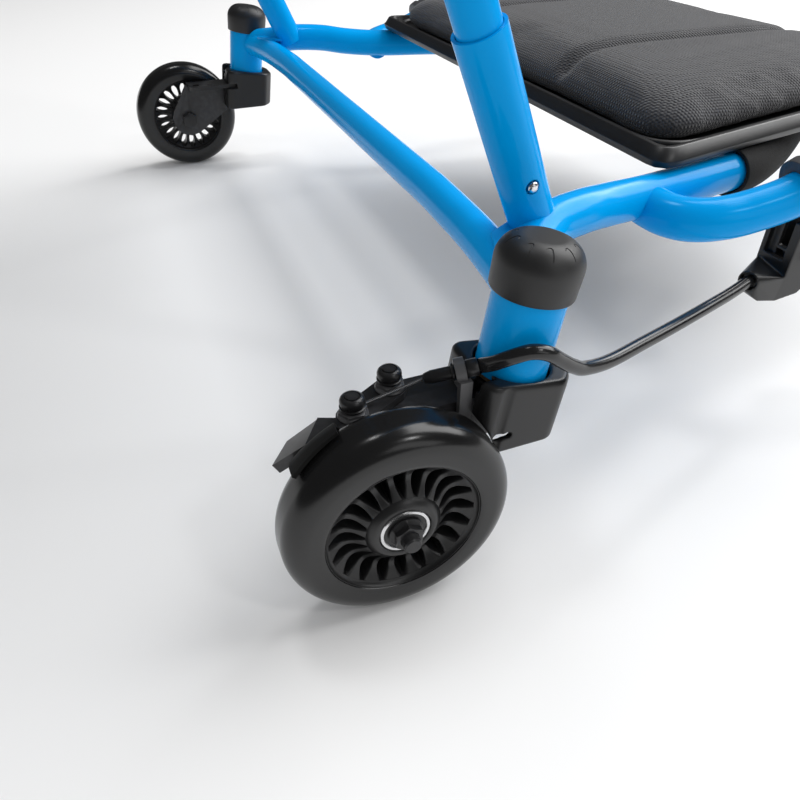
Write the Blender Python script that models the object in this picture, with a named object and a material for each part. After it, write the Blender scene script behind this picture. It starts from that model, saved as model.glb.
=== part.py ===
"""A low three-wheeled kids ride-on scooter: welded tube frame, two swivelling rear wheels, one steered front
wheel, a hand lever that pulls a cable to the brake shoe on the right rear wheel, and a padded seat.

Sizes are millimetres; MM turns them into Blender's metres. A rear corner is written as (x, inboard, z): x is
forward of the rear axle, inboard is the distance from that wheel's middle towards the centre line, and z is
height.
"""

import math

import bmesh
import bpy
import numpy as np

MM = 0.001
GAP = 0.3
SLIDE_FIT = 0.25
SMOOTH_ANGLE = math.radians(35)
RIGHT, LEFT = -1, 1
SIDES = {"right": RIGHT, "left": LEFT}

# Overall layout
TRACK = 608.0
WHEELBASE = 735.0
WHEEL_R = 50.0
TYRE_HALF = 13.0
FOOT_BAR_AHEAD = 62.0
FOOT_BAR_R = 11.0
PEG_R = 16.0
LENGTH = WHEEL_R + WHEELBASE + FOOT_BAR_AHEAD + PEG_R
REAR_AXLE_X = WHEEL_R - LENGTH / 2
FRONT_AXLE_X = REAR_AXLE_X + WHEELBASE

# Wheels
TYRE_CORNER = 9.6
TYRE_TREAD_HALF = TYRE_HALF - TYRE_CORNER
TYRE_LIP_R = 33.9
TYRE_LIP_HALF = 12.3
TYRE_SEAT_R = 35.6
CORE_R = TYRE_SEAT_R - 0.4
SPOKES = 20
SLOT_INNER_R = 16.2
SLOT_OUTER_R = 33.0
SLOT_HALF = 2.6
BOSS_R = 14.3
BOSS_HALF = 12.3
WEB_DIP = 5.5
WEB_RIM = 10.0
BEARING_R = 11.0
BEARING_BORE_R = 4.0
BEARING_WIDE = 7.0
BEARING_INNER_FACE = 5.0
BEARING_SHOULDER_R = 8.0
AXLE_R = 3.8
CORE_FIT = 0.1
AXLE_END = 20.7
NUT_HEX_R = 6.2
NUT_HIGH = 6.2
BOLT_HEX_R = 7.4
BOLT_HEAD = 5.2
SPACER_R = 6.4

# Post and swivel
POST_FOOT = (57.7, 25.0)
POST_RAKE = math.radians(8.8)
POST_R = 15.9
POST_WALL = 2.0
POST_BOTTOM = 40.6
POST_TOP = 89.0
CAP_R = 18.46
CAP_FOOT_R = 18.0
CAP_SHOULDER = 10.9
CAP_BOTTOM = 78.5
CAP_TOP = 101.6
BUSH_FLANGE = 2.0
SWIVEL_R = 6.0
SWIVEL_HEAD_R = 10.4
SWIVEL_HEAD = 5.0
SWIVEL_END = 27.0
BOSS_PLATE_R = 12.0
BOSS_PLATE_LOW = 30.0
BOSS_PLATE_THICK = 8.0

# Caster housing and axle arm
HOUSING_LOW = 61.0
HOUSING_TOP = 98.0
HOUSING_OUTER_FACE = 5.0
HOUSING_NOSE_X = 65.0
HOUSING_REAR_X = 38.5
HOUSING_WALL = 3.0
HOUSING_DECK = 84.9
TYRE_CLEAR = 1.8
COLLAR_R = 17.1
ARM_IN = 18.0
ARM_THICK = 4.0
WINDOW_X = (44.0, 54.0)
WINDOW_Z = 70.4
WINDOW_R = 2.1
FLUTE_AT = (50.0, 2.2)
FLUTE_R = 4.2
FLANGE_TOP = 84.5
FLANGE_THICK = 3.5

# Brake
PIVOT = (10.9, 33.6)
PINCH = (-9.4, 21.7)
BRAKE_PLATE_THICK = 3.5
BRAKE_LOBE_R = 7.2
BRAKE_BOLT_R = 3.0
SHOE_GAP = 1.3
SHOE_THICK = 1.9

# Frame tubes
TUBE_R = 11.1
TUBE_WALL = 1.5
TUBE_SIDES = 12
CROSS_R = 10.0
RISER_LENGTH = 93.0
SLEEVE_R = 14.0
GRIP_R = 15.0
GRIP_COLLAR_R = 17.0
GRIP_START = 241.0
LEG_R = 9.3
LEG_WALL = 1.5
SOCKET_R = 17.0
SOCKET_LENGTH = 70.0
BOOM_R = 14.2
BOOM_WALL = 1.8
BOOM_Z = 126.0
BUTTON_R = 2.5
BUTTON_HOLE_R = 3.4

# Seat
SEAT_Z = 135.1
SEAT_SHELL = 4.0
SEAT_RIM = 10.0
SEAT_CORNER = 12.0
SEAT_REAR = 186.0
SEAT_FRONT = 430.0
SEAT_HALF_REAR = 207.0
SEAT_HALF_FRONT = 165.0
PAD_THICK = 22.0
BACK_TOP_Z = 392.0
HOOP_BEND = 52.0

# Front end
HEAD_AHEAD = 25.0
HEAD_R = 17.0
HEAD_LOW = 112.0
HEAD_HIGH = 160.0
FORK_GAP_HALF = 17.5
FORK_PLATE = 4.0
CROWN_LOW = 103.0
CROWN_HIGH = 109.0
FOOT_BAR_HALF = 210.0
PEG_LENGTH = 92.0
FORK_SPACER_R = 7.0


for old in list(bpy.data.objects):
    bpy.data.objects.remove(old, do_unlink=True)


def paint(name, colour, roughness, metallic=0.0):
    material = bpy.data.materials.new(name)
    material.use_nodes = True
    shader = material.node_tree.nodes["Principled BSDF"]
    shader.inputs["Base Color"].default_value = (*colour, 1.0)
    shader.inputs["Roughness"].default_value = roughness
    shader.inputs["Metallic"].default_value = metallic
    material.diffuse_color = (*colour, 1.0)
    return material


BLUE = paint("blue_gloss_paint", (0.0, 0.30, 0.83), 0.22)
BLACK_STEEL = paint("black_coated_steel", (0.012, 0.012, 0.013), 0.35, 0.4)
GREY_STEEL = paint("grey_coated_steel", (0.07, 0.07, 0.075), 0.45, 0.3)
BLACK_PLASTIC = paint("black_moulded_plastic", (0.02, 0.02, 0.022), 0.5)
RUBBER = paint("black_rubber", (0.03, 0.03, 0.032), 0.6)
URETHANE = paint("black_urethane", (0.035, 0.035, 0.037), 0.3)
BRIGHT = paint("bright_steel", (0.75, 0.75, 0.76), 0.2, 1.0)
BRONZE = paint("bronze_bush", (0.45, 0.30, 0.14), 0.4, 0.8)
FOAM = paint("foam_sleeve", (0.015, 0.015, 0.016), 0.9)
FABRIC = paint("seat_fabric", (0.03, 0.03, 0.034), 0.85)


def vec(*values):
    return np.array(values, float)


def unit(vector):
    vector = np.asarray(vector, float)
    return vector / np.linalg.norm(vector)


def spot(side, x, inboard, z):
    """A point of a rear corner, in the whole scooter's frame."""
    return vec(REAR_AXLE_X + x, side * (TRACK / 2 - inboard), z)


def turn_out(side, x, inboard, z):
    """A direction of a rear corner, in the whole scooter's frame."""
    return unit((x, -side * inboard, z))


def axes_of(axis):
    """The axis and two unit vectors square to it."""
    along = unit(axis)
    level = vec(0, 0, 1) if abs(along[2]) < 0.9 else vec(1, 0, 0)
    across = unit(np.cross(level, along))
    return along, across, np.cross(along, across)


def arc(centre, radius, start, end, steps):
    """Points of a flat arc; angles in degrees."""
    angles = np.radians(np.linspace(start, end, steps + 1))
    return [(centre[0] + radius * math.cos(a), centre[1] + radius * math.sin(a)) for a in angles]


def smooth_path(points, per_span):
    """A smooth curve through the points, with per_span steps between each two (Catmull-Rom)."""
    p = np.asarray(points, float)
    p = np.vstack([2 * p[0] - p[1], p, 2 * p[-1] - p[-2]])
    path = []
    for i in range(1, len(p) - 2):
        for t in np.arange(per_span) / per_span:
            path.append(
                0.5
                * (
                    2 * p[i]
                    + (p[i + 1] - p[i - 1]) * t
                    + (2 * p[i - 1] - 5 * p[i] + 4 * p[i + 1] - p[i + 2]) * t**2
                    + (3 * p[i] - p[i - 1] - 3 * p[i + 1] + p[i + 2]) * t**3
                )
            )
    path.append(p[-2])
    return np.array(path)


def solid(name, shape, material, origin=(0, 0, 0)):
    """One closed body from points in mm, with its object's origin at the given point."""
    points, faces = shape
    origin = np.asarray(origin, float)
    mesh = bpy.data.meshes.new(name)
    mesh.from_pydata([tuple((np.asarray(p) - origin) * MM) for p in points], [], faces)
    work = bmesh.new()
    work.from_mesh(mesh)
    bmesh.ops.recalc_face_normals(work, faces=work.faces)
    work.to_mesh(mesh)
    work.free()
    mesh.materials.append(material)
    mesh.shade_smooth()
    mesh.set_sharp_from_angle(angle=SMOOTH_ANGLE)
    body = bpy.data.objects.new(name, mesh)
    body.location = origin * MM
    bpy.context.scene.collection.objects.link(body)
    return body


def helper(name, shape):
    """A hidden solid that only joins or cuts another."""
    body = solid(name, shape, BLACK_STEEL)
    body.hide_render = True
    body.display_type = "WIRE"
    return body


def boolean(body, shape, operation):
    index = len(body.modifiers) + 1
    tool = helper(f"{body.name}_{operation.lower()}_{index}", shape)
    modifier = body.modifiers.new(f"{operation.lower()}_{index}", "BOOLEAN")
    modifier.operation = operation
    modifier.solver = "EXACT"
    modifier.use_hole_tolerant = True
    modifier.object = tool


def weld(body, *shapes):
    for shape in shapes:
        boolean(body, shape, "UNION")


def cut(body, *shapes):
    for shape in shapes:
        boolean(body, shape, "DIFFERENCE")


def turned(profile, base, axis, sides=16, shift=0.0, ring=False):
    """A profile of (radius, distance along the axis) spun round the axis through base.

    A ring's profile joins up with its own start; any other starts and ends on the axis.
    """
    along, across, upward = axes_of(axis)
    angles = (np.arange(sides) + shift) * 2 * math.pi / sides
    points, rows = [], []
    for radius, distance in profile:
        centre = np.asarray(base, float) + along * distance
        if radius < 1e-6:
            rows.append([len(points)] * sides)
            points.append(centre)
            continue
        rows.append(list(range(len(points), len(points) + sides)))
        points += [centre + radius * (math.cos(a) * across + math.sin(a) * upward) for a in angles]
    faces = []
    pairs = list(zip(rows, rows[1:] + rows[:1])) if ring else list(zip(rows, rows[1:]))
    for low, high in pairs:
        for k in range(sides):
            n = (k + 1) % sides
            corners = [low[k], low[n], high[n], high[k]]
            kept = [c for i, c in enumerate(corners) if c != corners[i - 1]]
            faces.append(tuple(kept))
    return points, faces


def rod(start, end, radius, sides=TUBE_SIDES, shift=0.0):
    start, end = np.asarray(start, float), np.asarray(end, float)
    length = np.linalg.norm(end - start)
    return turned([(0, 0), (radius, 0), (radius, length), (0, length)], start, end - start, sides, shift)


def swept(path, radius, sides=TUBE_SIDES, inner=None):
    """A round bar along a path, or a tube open at both ends where inner is its bore's radius."""
    path = np.asarray(path, float)
    slopes = np.gradient(path, axis=0)
    slopes /= np.linalg.norm(slopes, axis=1)[:, None]
    _, across, _ = axes_of(slopes[0])
    angles = np.arange(sides) * 2 * math.pi / sides
    walls = [radius] if inner is None else [radius, inner]
    points, rows = [], {wall: [] for wall in walls}
    for centre, slope in zip(path, slopes):
        across = unit(across - slope * np.dot(across, slope))
        upward = np.cross(slope, across)
        for wall in walls:
            rows[wall].append(list(range(len(points), len(points) + sides)))
            points += [centre + wall * (math.cos(a) * across + math.sin(a) * upward) for a in angles]
    faces = []
    for wall in walls:
        for low, high in zip(rows[wall], rows[wall][1:]):
            faces += [(low[k], low[k - 1], high[k - 1], high[k]) for k in range(sides)]
    for end in (0, -1):
        if inner is None:
            faces.append(tuple(rows[radius][end]))
            continue
        wide, narrow = rows[radius][end], rows[inner][end]
        faces += [(wide[k], wide[k - 1], narrow[k - 1], narrow[k]) for k in range(sides)]
    return points, faces


def prism(outline, direction):
    """A flat outline of 3-D points pushed along a direction."""
    outline = [np.asarray(p, float) for p in outline]
    count = len(outline)
    points = outline + [p + np.asarray(direction, float) for p in outline]
    faces = [tuple(range(count)), tuple(range(count, 2 * count))]
    faces += [(k, (k + 1) % count, count + (k + 1) % count, count + k) for k in range(count)]
    return points, faces


def plate(side, outline, low, high):
    """A level plate of a rear corner, from an (x, inboard) outline."""
    return prism([spot(side, x, y, low) for x, y in outline], (0, 0, high - low))


def side_plate(side, outline, near, far):
    """An upright plate of a rear corner along the scooter, from an (x, z) outline."""
    return prism([spot(side, x, near, z) for x, z in outline], (0, -side * (far - near), 0))


def block(side, x, inboard, z):
    """A box of a rear corner from its low and high limits on each axis."""
    return plate(side, [(x[0], inboard[0]), (x[1], inboard[0]), (x[1], inboard[1]), (x[0], inboard[1])], *z)


def surface(grid, thickness_grid):
    """A closed sheet between two grids of points."""
    rows, columns = len(grid), len(grid[0])
    points = [p for row in grid for p in row] + [p for row in thickness_grid for p in row]
    base = rows * columns

    def at(i, j, far):
        return i * columns + j + far * base

    faces = []
    for i in range(rows - 1):
        for j in range(columns - 1):
            for far in (0, 1):
                faces.append((at(i, j, far), at(i + 1, j, far), at(i + 1, j + 1, far), at(i, j + 1, far)))
    edge = [(i, 0) for i in range(rows)] + [(rows - 1, j) for j in range(1, columns)]
    edge += [(i, columns - 1) for i in range(rows - 2, -1, -1)] + [(0, j) for j in range(columns - 2, 0, -1)]
    for (i, j), (m, n) in zip(edge, edge[1:] + edge[:1]):
        faces.append((at(i, j, 0), at(m, n, 0), at(m, n, 1), at(i, j, 1)))
    return points, faces


def hexagon(base, axis, radius, low, high):
    """A hexagonal head between two heights."""
    return turned([(0, low), (radius, low), (radius, high), (0, high)], base, axis, 6)


# Wheels: a urethane tyre cast round a slotted core, two ball bearings and the axle bolt with its nut


def tyre(name, centre):
    """A flat tread, a round shoulder and a lip that holds the core's rim, mirrored about the middle."""
    shoulder = arc((WHEEL_R - TYRE_CORNER, TYRE_TREAD_HALF), TYRE_CORNER, 0, 90, 2)
    half = shoulder + [(TYRE_LIP_R, TYRE_LIP_HALF), (TYRE_LIP_R, WEB_RIM + GAP), (TYRE_SEAT_R, WEB_RIM + GAP)]
    sides = 32
    profile = half + [(r, -y) for r, y in reversed(half)]
    wide = 1 / math.cos(math.pi / sides)
    profile = [(r * wide, y) for r, y in profile]
    solid(name, turned(profile, centre, (0, 1, 0), sides, 0.5, ring=True), URETHANE, centre)


def web_face(radius):
    """How far the dished web's face stands from the middle: deep half way out, proud at hub and rim."""
    share = (radius - SLOT_INNER_R) / (SLOT_OUTER_R - SLOT_INNER_R)
    return WEB_RIM - (WEB_RIM - WEB_DIP) * math.sin(math.pi * share) ** 1.2


SLOT_SHAPE = [(0.0, 0.0), (0.25, 0.72), (0.68, 1.0), (1.0, 0.0)]


def wheel_core(name, centre):
    """Radial slots, wide in the middle and pointed at both ends, each in its own sector of the disc."""
    span = SLOT_OUTER_R - SLOT_INNER_R
    stations = [(SLOT_INNER_R + share * span, wide) for share, wide in SLOT_SHAPE]
    step = 2 * math.pi / SPOKES
    points, index = [], {}

    def at(radius, angle, face):
        key = (round(radius, 3), round(angle % (2 * math.pi), 5), round(face, 3))
        if key not in index:
            index[key] = len(points)
            points.append(vec(radius * math.sin(angle), face, -radius * math.cos(angle)) + centre)
        return index[key]

    def strip(first, second):
        """A four-cornered face between two rows, each a radius, a face height and its two angles."""
        (r0, y0, low0, high0), (r1, y1, low1, high1) = first, second
        faces.append((at(r0, low0, y0), at(r1, low1, y1), at(r1, high1, y1), at(r0, high0, y0)))

    faces = []
    bore = BEARING_R + SLIDE_FIT + CORE_FIT
    seat = BEARING_INNER_FACE - GAP
    hub = [(BEARING_SHOULDER_R, seat), (bore, seat), (bore, BOSS_HALF), (BOSS_R, BOSS_HALF)]
    for sector in range(SPOKES):
        middle = sector * step
        low, high = middle - step / 2, middle + step / 2
        strip((BEARING_SHOULDER_R, -seat, low, high), (BEARING_SHOULDER_R, seat, low, high))
        strip((CORE_R, -WEB_RIM, low, high), (CORE_R, WEB_RIM, low, high))
        for face in (-1, 1):
            for (r0, y0), (r1, y1) in zip(hub, hub[1:]):
                strip((r0, face * y0, low, high), (r1, face * y1, low, high))
            for rim_r, rim_y, tip_r in ((BOSS_R, BOSS_HALF, SLOT_INNER_R), (CORE_R, WEB_RIM, SLOT_OUTER_R)):
                edge = at(rim_r, low, face * rim_y), at(rim_r, high, face * rim_y)
                tip_y = face * web_face(tip_r)
                tip = at(tip_r, middle, tip_y)
                faces.append((edge[0], at(tip_r, low, tip_y), tip))
                faces.append((edge[0], tip, edge[1]))
                faces.append((edge[1], tip, at(tip_r, high, tip_y)))
        for hand in (-1, 1):
            border = low if hand < 0 else high
            for (r0, w0), (r1, w1) in zip(stations, stations[1:]):
                e0 = middle + hand * w0 * SLOT_HALF / r0
                e1 = middle + hand * w1 * SLOT_HALF / r1
                y0, y1 = web_face(r0), web_face(r1)
                for face in (-1, 1):
                    strip((r0, face * y0, border, e0), (r1, face * y1, border, e1))
                faces.append((at(r0, e0, -y0), at(r1, e1, -y1), at(r1, e1, y1), at(r0, e0, y0)))
    solid(name, (points, faces), BLACK_PLASTIC, centre)


def bearing(name, centre, axis, shielded):
    """A 22 mm ball bearing; the one in view has its shield recessed in the outward face."""
    near, far = BEARING_INNER_FACE, BEARING_INNER_FACE + BEARING_WIDE
    bore = BEARING_BORE_R + SLIDE_FIT
    profile = [
        (BEARING_R, near),
        (BEARING_R, far),
        (BEARING_R - 1.4, far),
        (BEARING_R - 1.8, far - 0.5),
        (bore + 2.4, far - 0.5),
        (bore + 2.0, far),
        (bore, far),
        (bore, near),
    ]
    if not shielded:
        profile = [profile[0], profile[1], profile[-2], profile[-1]]
    solid(name, turned(profile, centre, axis, 16 if shielded else 12, ring=True), BRIGHT, centre)


def wheel(tag, centre, outward):
    """Tyre, core and both bearings; outward is the unit direction of the visible side."""
    tyre(f"tyre_{tag}", centre)
    wheel_core(f"wheel_core_{tag}", centre)
    bearing(f"bearing_outer_{tag}", centre, outward, True)
    bearing(f"bearing_inner_{tag}", centre, -outward, False)


REAR_CENTRE = {name: spot(side, 0, 0, WHEEL_R) for name, side in SIDES.items()}
FRONT_CENTRE = vec(FRONT_AXLE_X, 0, WHEEL_R)
BEARING_FACE = BEARING_INNER_FACE + BEARING_WIDE

# Rear casters: raked post axis, housing, arm, bushes and swivel bolt


def post_point(side, along):
    """A point on the raked swivel axis, along millimetres above the axle's height."""
    x, inboard = POST_FOOT
    return spot(side, x + math.sin(POST_RAKE) * along, inboard, WHEEL_R + math.cos(POST_RAKE) * along)


POST_AXIS = vec(math.sin(POST_RAKE), 0, math.cos(POST_RAKE))


def post_turned(side, profile, sides=16, ring=False):
    return turned(profile, post_point(side, 0), POST_AXIS, sides, ring=ring)


def housing_outline(inset=0.0):
    """The moulded housing seen from above: a round nose and a square back with rounded corners."""
    width = HOUSING_NOSE_RADIUS - inset
    back = HOUSING_REAR_X + inset
    corner = 5.0 - 0.8 * inset
    nose = arc((HOUSING_NOSE_X, POST_FOOT[1]), width, -90, 90, 10)
    inner = arc((back + corner, POST_FOOT[1] + width - corner), corner, 90, 180, 2)
    outer = arc((back + corner, POST_FOOT[1] - width + corner), corner, 180, 270, 2)
    return nose + inner + outer


HOUSING_NOSE_RADIUS = POST_FOOT[1] - HOUSING_OUTER_FACE
ARM_OUT = ARM_IN + ARM_THICK
STRAP_IN, STRAP_OUT = ARM_IN - 3.3, ARM_IN - 0.3
RING_CENTRE = (37.6, 21.4, 98.2)
RING_AXIS = (0.947, -0.258, 0.193)
RING_R = 5.6
RING_BORE_R = 3.3
RING_HALF = 2.2
FERRULE_R = 3.9
STRAP_X = (35.0, 40.6)


def caster_housing(name, side):
    """A black moulding that shields the swivel joint: hollow below, with a collar the post stands in."""
    solid_shape = plate(side, housing_outline(), HOUSING_LOW, HOUSING_TOP)
    body = solid(name, solid_shape, BLACK_PLASTIC, post_point(side, 0))
    wheel_r, wheel_in = WHEEL_R + TYRE_CLEAR, ARM_IN - 2
    wheel_space = [(0, -40), (wheel_r, -40), (wheel_r, wheel_in), (0, wheel_in)]
    below, above = HOUSING_LOW - 8, HOUSING_TOP + 12
    cut(body, plate(side, housing_outline(HOUSING_WALL), below, HOUSING_DECK))
    boss_r = BOSS_PLATE_R + 0.8
    cut(body, post_turned(side, [(0, 15), (boss_r, 15), (boss_r, 45), (0, 45)]))
    seat = BOSS_PLATE_LOW + BOSS_PLATE_THICK - GAP
    funnel = COLLAR_R + 2
    collar = [(0, seat), (COLLAR_R, seat), (COLLAR_R, 46.6), (funnel, 49.2), (funnel, 66), (0, 66)]
    cut(body, post_turned(side, collar, 24))
    cut(body, turned(wheel_space, spot(side, 0, 0, WHEEL_R), turn_out(side, 0, 1, 0), 48))
    room = 0.4
    cut(body, block(side, (20, HOUSING_REAR_X + 7), (STRAP_IN - room, ARM_OUT + room), (below, above)))
    flange_room = (FLANGE_TOP - FLANGE_THICK - room, FLANGE_TOP + room)
    cut(body, block(side, (20, 50), (ARM_IN - room, 60), flange_room))
    cut(body, block(side, (20, HOUSING_REAR_X + 11), (ARM_IN - 6, 28.2), (91.3, above)))
    (back, front), height, radius = WINDOW_X, WINDOW_Z, WINDOW_R
    window = arc((front, height), radius, -90, 90, 4) + arc((back, height), radius, 90, 270, 4)
    cut(body, side_plate(side, window, 0, 12))
    flute = [(0, below), (FLUTE_R, below), (FLUTE_R, above), (0, above)]
    cut(body, turned(flute, spot(side, *FLUTE_AT, 0), (0, 0, 1), 12))


def bolt_hole(side, place):
    """A cutter for an upright brake bolt."""
    return rod(spot(side, *place, 60), spot(side, *place, 110), BRAKE_BOLT_R + GAP, 12)


def axle_arm(name, side):
    """A steel L: an upright web that carries the axle and a level flange under the post's thrust boss."""
    tail = arc((0, WHEEL_R), 16.5, 145, 300, 5)
    web = [(62, FLANGE_TOP), (3, FLANGE_TOP)] + tail + [(50, 62), (62, 62)]
    body = solid(name, side_plate(side, web, ARM_IN, ARM_OUT), BLACK_STEEL, post_point(side, 0))
    lobe = arc(PIVOT, 8.0, 90, 215, 4)
    flange = [(68, ARM_IN), (68, 36), (30, 41.6)] + lobe + [(2.5, ARM_IN + 4), (4, ARM_IN)]
    weld(body, plate(side, flange, FLANGE_TOP - FLANGE_THICK, FLANGE_TOP))
    low, high = BOSS_PLATE_LOW, BOSS_PLATE_LOW + BOSS_PLATE_THICK
    weld(body, post_turned(side, [(0, low), (BOSS_PLATE_R, low), (BOSS_PLATE_R, high), (0, high)]))
    inward = turn_out(side, 0, 1, 0)
    axle = spot(side, 0, 0, WHEEL_R)
    weld(body, rod(axle + inward * (BEARING_FACE + GAP), axle + inward * (ARM_IN + 1), SPACER_R, 14))
    cut(body, rod(axle, axle + inward * 40, AXLE_R + GAP, 14))
    cut(body, rod(post_point(side, 10), post_point(side, 60), SWIVEL_R + GAP, 16))
    cut(body, bolt_hole(side, PIVOT))


def swivel_parts(tag, side):
    """Two flanged bushes pressed into the post, the bolt they turn on and the rubber cap over it."""
    bore = POST_R - POST_WALL
    origin = post_point(side, POST_BOTTOM)
    shaft = SWIVEL_R + SLIDE_FIT
    low = BOSS_PLATE_LOW + BOSS_PLATE_THICK + GAP
    for name, flange, sleeve_end in (
        ("lower", low, POST_BOTTOM + 16),
        ("upper", POST_TOP + GAP + BUSH_FLANGE, POST_TOP - 16),
    ):
        shoulder = POST_BOTTOM - GAP if name == "lower" else POST_TOP + GAP
        profile = [
            (POST_R - 0.6, flange),
            (POST_R - 0.6, shoulder),
            (bore - GAP, shoulder),
            (bore - GAP, sleeve_end),
            (shaft, sleeve_end),
            (shaft, flange),
        ]
        solid(f"swivel_bush_{name}_{tag}", post_turned(side, profile, 12, ring=True), BRONZE, origin)
    head = POST_TOP + 2 * GAP + BUSH_FLANGE
    shank = rod(post_point(side, SWIVEL_END), post_point(side, head + 1), SWIVEL_R, 12)
    bolt = solid(f"swivel_bolt_{tag}", shank, BLACK_STEEL, origin)
    weld(bolt, hexagon(post_point(side, 0), POST_AXIS, SWIVEL_HEAD_R, head, head + SWIVEL_HEAD))
    inside = head + SWIVEL_HEAD + GAP
    shoulder = arc((CAP_TOP - CAP_SHOULDER, CAP_R - CAP_SHOULDER), CAP_SHOULDER, 0, 90, 4)
    profile = [(0, CAP_TOP)] + [(radius, along) for along, radius in shoulder]
    profile += [
        (CAP_FOOT_R, CAP_BOTTOM),
        (POST_R + GAP, CAP_BOTTOM),
        (POST_R + GAP, head),
        (SWIVEL_HEAD_R + GAP, head),
        (SWIVEL_HEAD_R + GAP, inside),
        (0, inside),
    ]
    cap = solid(f"post_cap_{tag}", post_turned(side, profile, 20), RUBBER, origin)
    cut(cap, swept(cross_tube_path(), CROSS_R + GAP, 12), swept(rail_path(side)[:9], TUBE_R + GAP, 12))


# Frame tubes


CROSS_BEND = [(68.5, 25, 117), (74.8, 46, 117.8), (78.2, 70, 118.5), (80.6, 100, 119.5), (82.6, 150, 120)]


def cross_tube_path():
    """The tube between the two posts: straight across, drawn back to each post over its last stretch."""
    right = [spot(RIGHT, *p) for p in CROSS_BEND]
    left = [spot(LEFT, *p) for p in reversed(CROSS_BEND)]
    return np.vstack([smooth_path(right, 2), smooth_path(left, 2)])


RAIL = [
    (68.5, 25, 118),
    (80, 45, 121.5),
    (92, 61.5, 125),
    (107, 74, 128),
    (130, 83, 127.5),
    (152, 91.5, 124.5),
    (183, 99, 122),
    (232, 109, 121),
    (280, 128, 120),
    (350, TRACK / 2 - 128, 119.5),
    (430, TRACK / 2 - 69, 121),
    (497, TRACK / 2 - 4, BOOM_Z),
]


def rail_path(side):
    return smooth_path([spot(side, *p) for p in RAIL], 2)


def rail_part(side, first, last):
    """The piece of the side rail between two distances forward of the axle."""
    path = rail_path(side)
    x = path[:, 0] - REAR_AXLE_X
    return path[(x > first) & (x < last)]


RISER_FOOT = (100.0, 76.8, 130.0)
RISER_LEAN = unit((-16.0, -2.4, 36.4))
RISER_START = -5.0
FIN = [(72, 60, 126.5), (77.5, 76.5, 126.5), (93, 84.5, 127.5), (98, 64, 127.5)]
FIN_THICK = 2.5
SOCKET_BACK = 472.0
BOOM_HOLE = vec(REAR_AXLE_X + SOCKET_BACK + SOCKET_LENGTH - 18, 0, BOOM_Z)


def riser_point(side, along):
    x, inboard, z = np.array(RISER_FOOT) + RISER_LEAN * along
    return spot(side, x, inboard, z)


BUTTON_ALONG = 25.6


def frame_tubes():
    """Posts, cross tube, side rails, risers and the boom's socket, welded into one piece."""
    body = solid("frame", swept(cross_tube_path(), CROSS_R), BLUE)
    for side in SIDES.values():
        weld(body, rod(post_point(side, POST_BOTTOM), post_point(side, POST_TOP), POST_R, 16))
        weld(body, swept(rail_path(side), TUBE_R))
        weld(body, rod(riser_point(side, RISER_START), riser_point(side, RISER_LENGTH), TUBE_R, 16))
        weld(body, prism([spot(side, *p) for p in FIN], (0, 0, FIN_THICK)))
    socket = vec(REAR_AXLE_X + SOCKET_BACK, 0, BOOM_Z)
    forward = vec(1, 0, 0)
    weld(body, rod(socket, socket + forward * SOCKET_LENGTH, SOCKET_R, 20))
    for side in SIDES.values():
        bore = POST_R - POST_WALL
        cut(body, post_turned(side, [(0, 20), (bore, 20), (bore, 120), (0, 120)]))
        cut(body, rod(riser_point(side, 12), riser_point(side, RISER_LENGTH + 20), TUBE_R - TUBE_WALL, 16))
        hole = riser_point(side, BUTTON_ALONG)
        cut(body, rod(hole, hole + button_direction(side) * 20, BUTTON_HOLE_R, 12, 0.3))
    cut(body, rod(socket + forward * 10, socket + forward * (SOCKET_LENGTH + 20), BOOM_R + GAP, 18, 0.5))
    cut(body, rod(BOOM_HOLE, BOOM_HOLE + vec(0, 0, 30), BUTTON_HOLE_R, 12))


def button_direction(side):
    """Straight outboard, square to the riser."""
    outboard = vec(0, -1, 0)
    x, inboard, z = unit(outboard - RISER_LEAN * np.dot(outboard, RISER_LEAN))
    return turn_out(side, x, inboard, z)


def snap_button(name, centre, direction, surface_at):
    """A sprung pin: a foot inside the inner tube and a domed stem that stands through both walls."""
    tip = surface_at + 1.4
    profile = [
        (0, 2.6),
        (4.4, 2.6),
        (4.4, 4.2),
        (BUTTON_R, 4.2),
        (BUTTON_R, tip - 1.2),
        (BUTTON_R * 0.7, tip - 0.3),
        (0, tip),
    ]
    solid(name, turned(profile, centre, direction, 10), BRIGHT, centre)


GRIP_ROUTE = [
    (176.6, 97.6, 122.4),
    (177.2, 90, 122),
    (179.6, 80, 121.3),
    (186.4, 71, 120.3),
    (198, 64.5, 120.3),
    (216, 60.3, 122.6),
    (242, 56, 130.3),
    (266, 53, 146),
    (300, 50.5, 176),
    (332, 48, 205),
]


def grip_path(side):
    return smooth_path([spot(side, *p) for p in GRIP_ROUTE], 2)


def grip_held(side):
    """The stretch of the grip tube that the hand grip covers."""
    path = grip_path(side)
    return path[path[:, 0] - REAR_AXLE_X > GRIP_START]


def grip_tube(name, side):
    """A bent tube welded to the side rail that rises forward and carries the hand grip."""
    body = solid(name, swept(grip_path(side), TUBE_R), BLUE)
    cut(body, swept(rail_part(side, 120, 250), TUBE_R + GAP, 16))


def hand_grip(name, side):
    """A moulded grip pushed over the tube's end, with a collar at its lower end and a closed top."""
    held = grip_held(side)
    end = held[-1] + unit(held[-1] - held[-2]) * 4
    body = solid(name, swept(np.vstack([held, end]), GRIP_R, 12), RUBBER)
    collar_end = held[0] + (held[1] - held[0]) * 0.55
    weld(body, rod(held[0], collar_end, GRIP_COLLAR_R, 12))
    start = held[0] - unit(held[1] - held[0]) * 12
    inside_end = held[-1] + unit(held[-1] - held[-2]) * GAP
    cut(body, swept(np.vstack([start, held, inside_end]), TUBE_R + GAP, 12))


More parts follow.
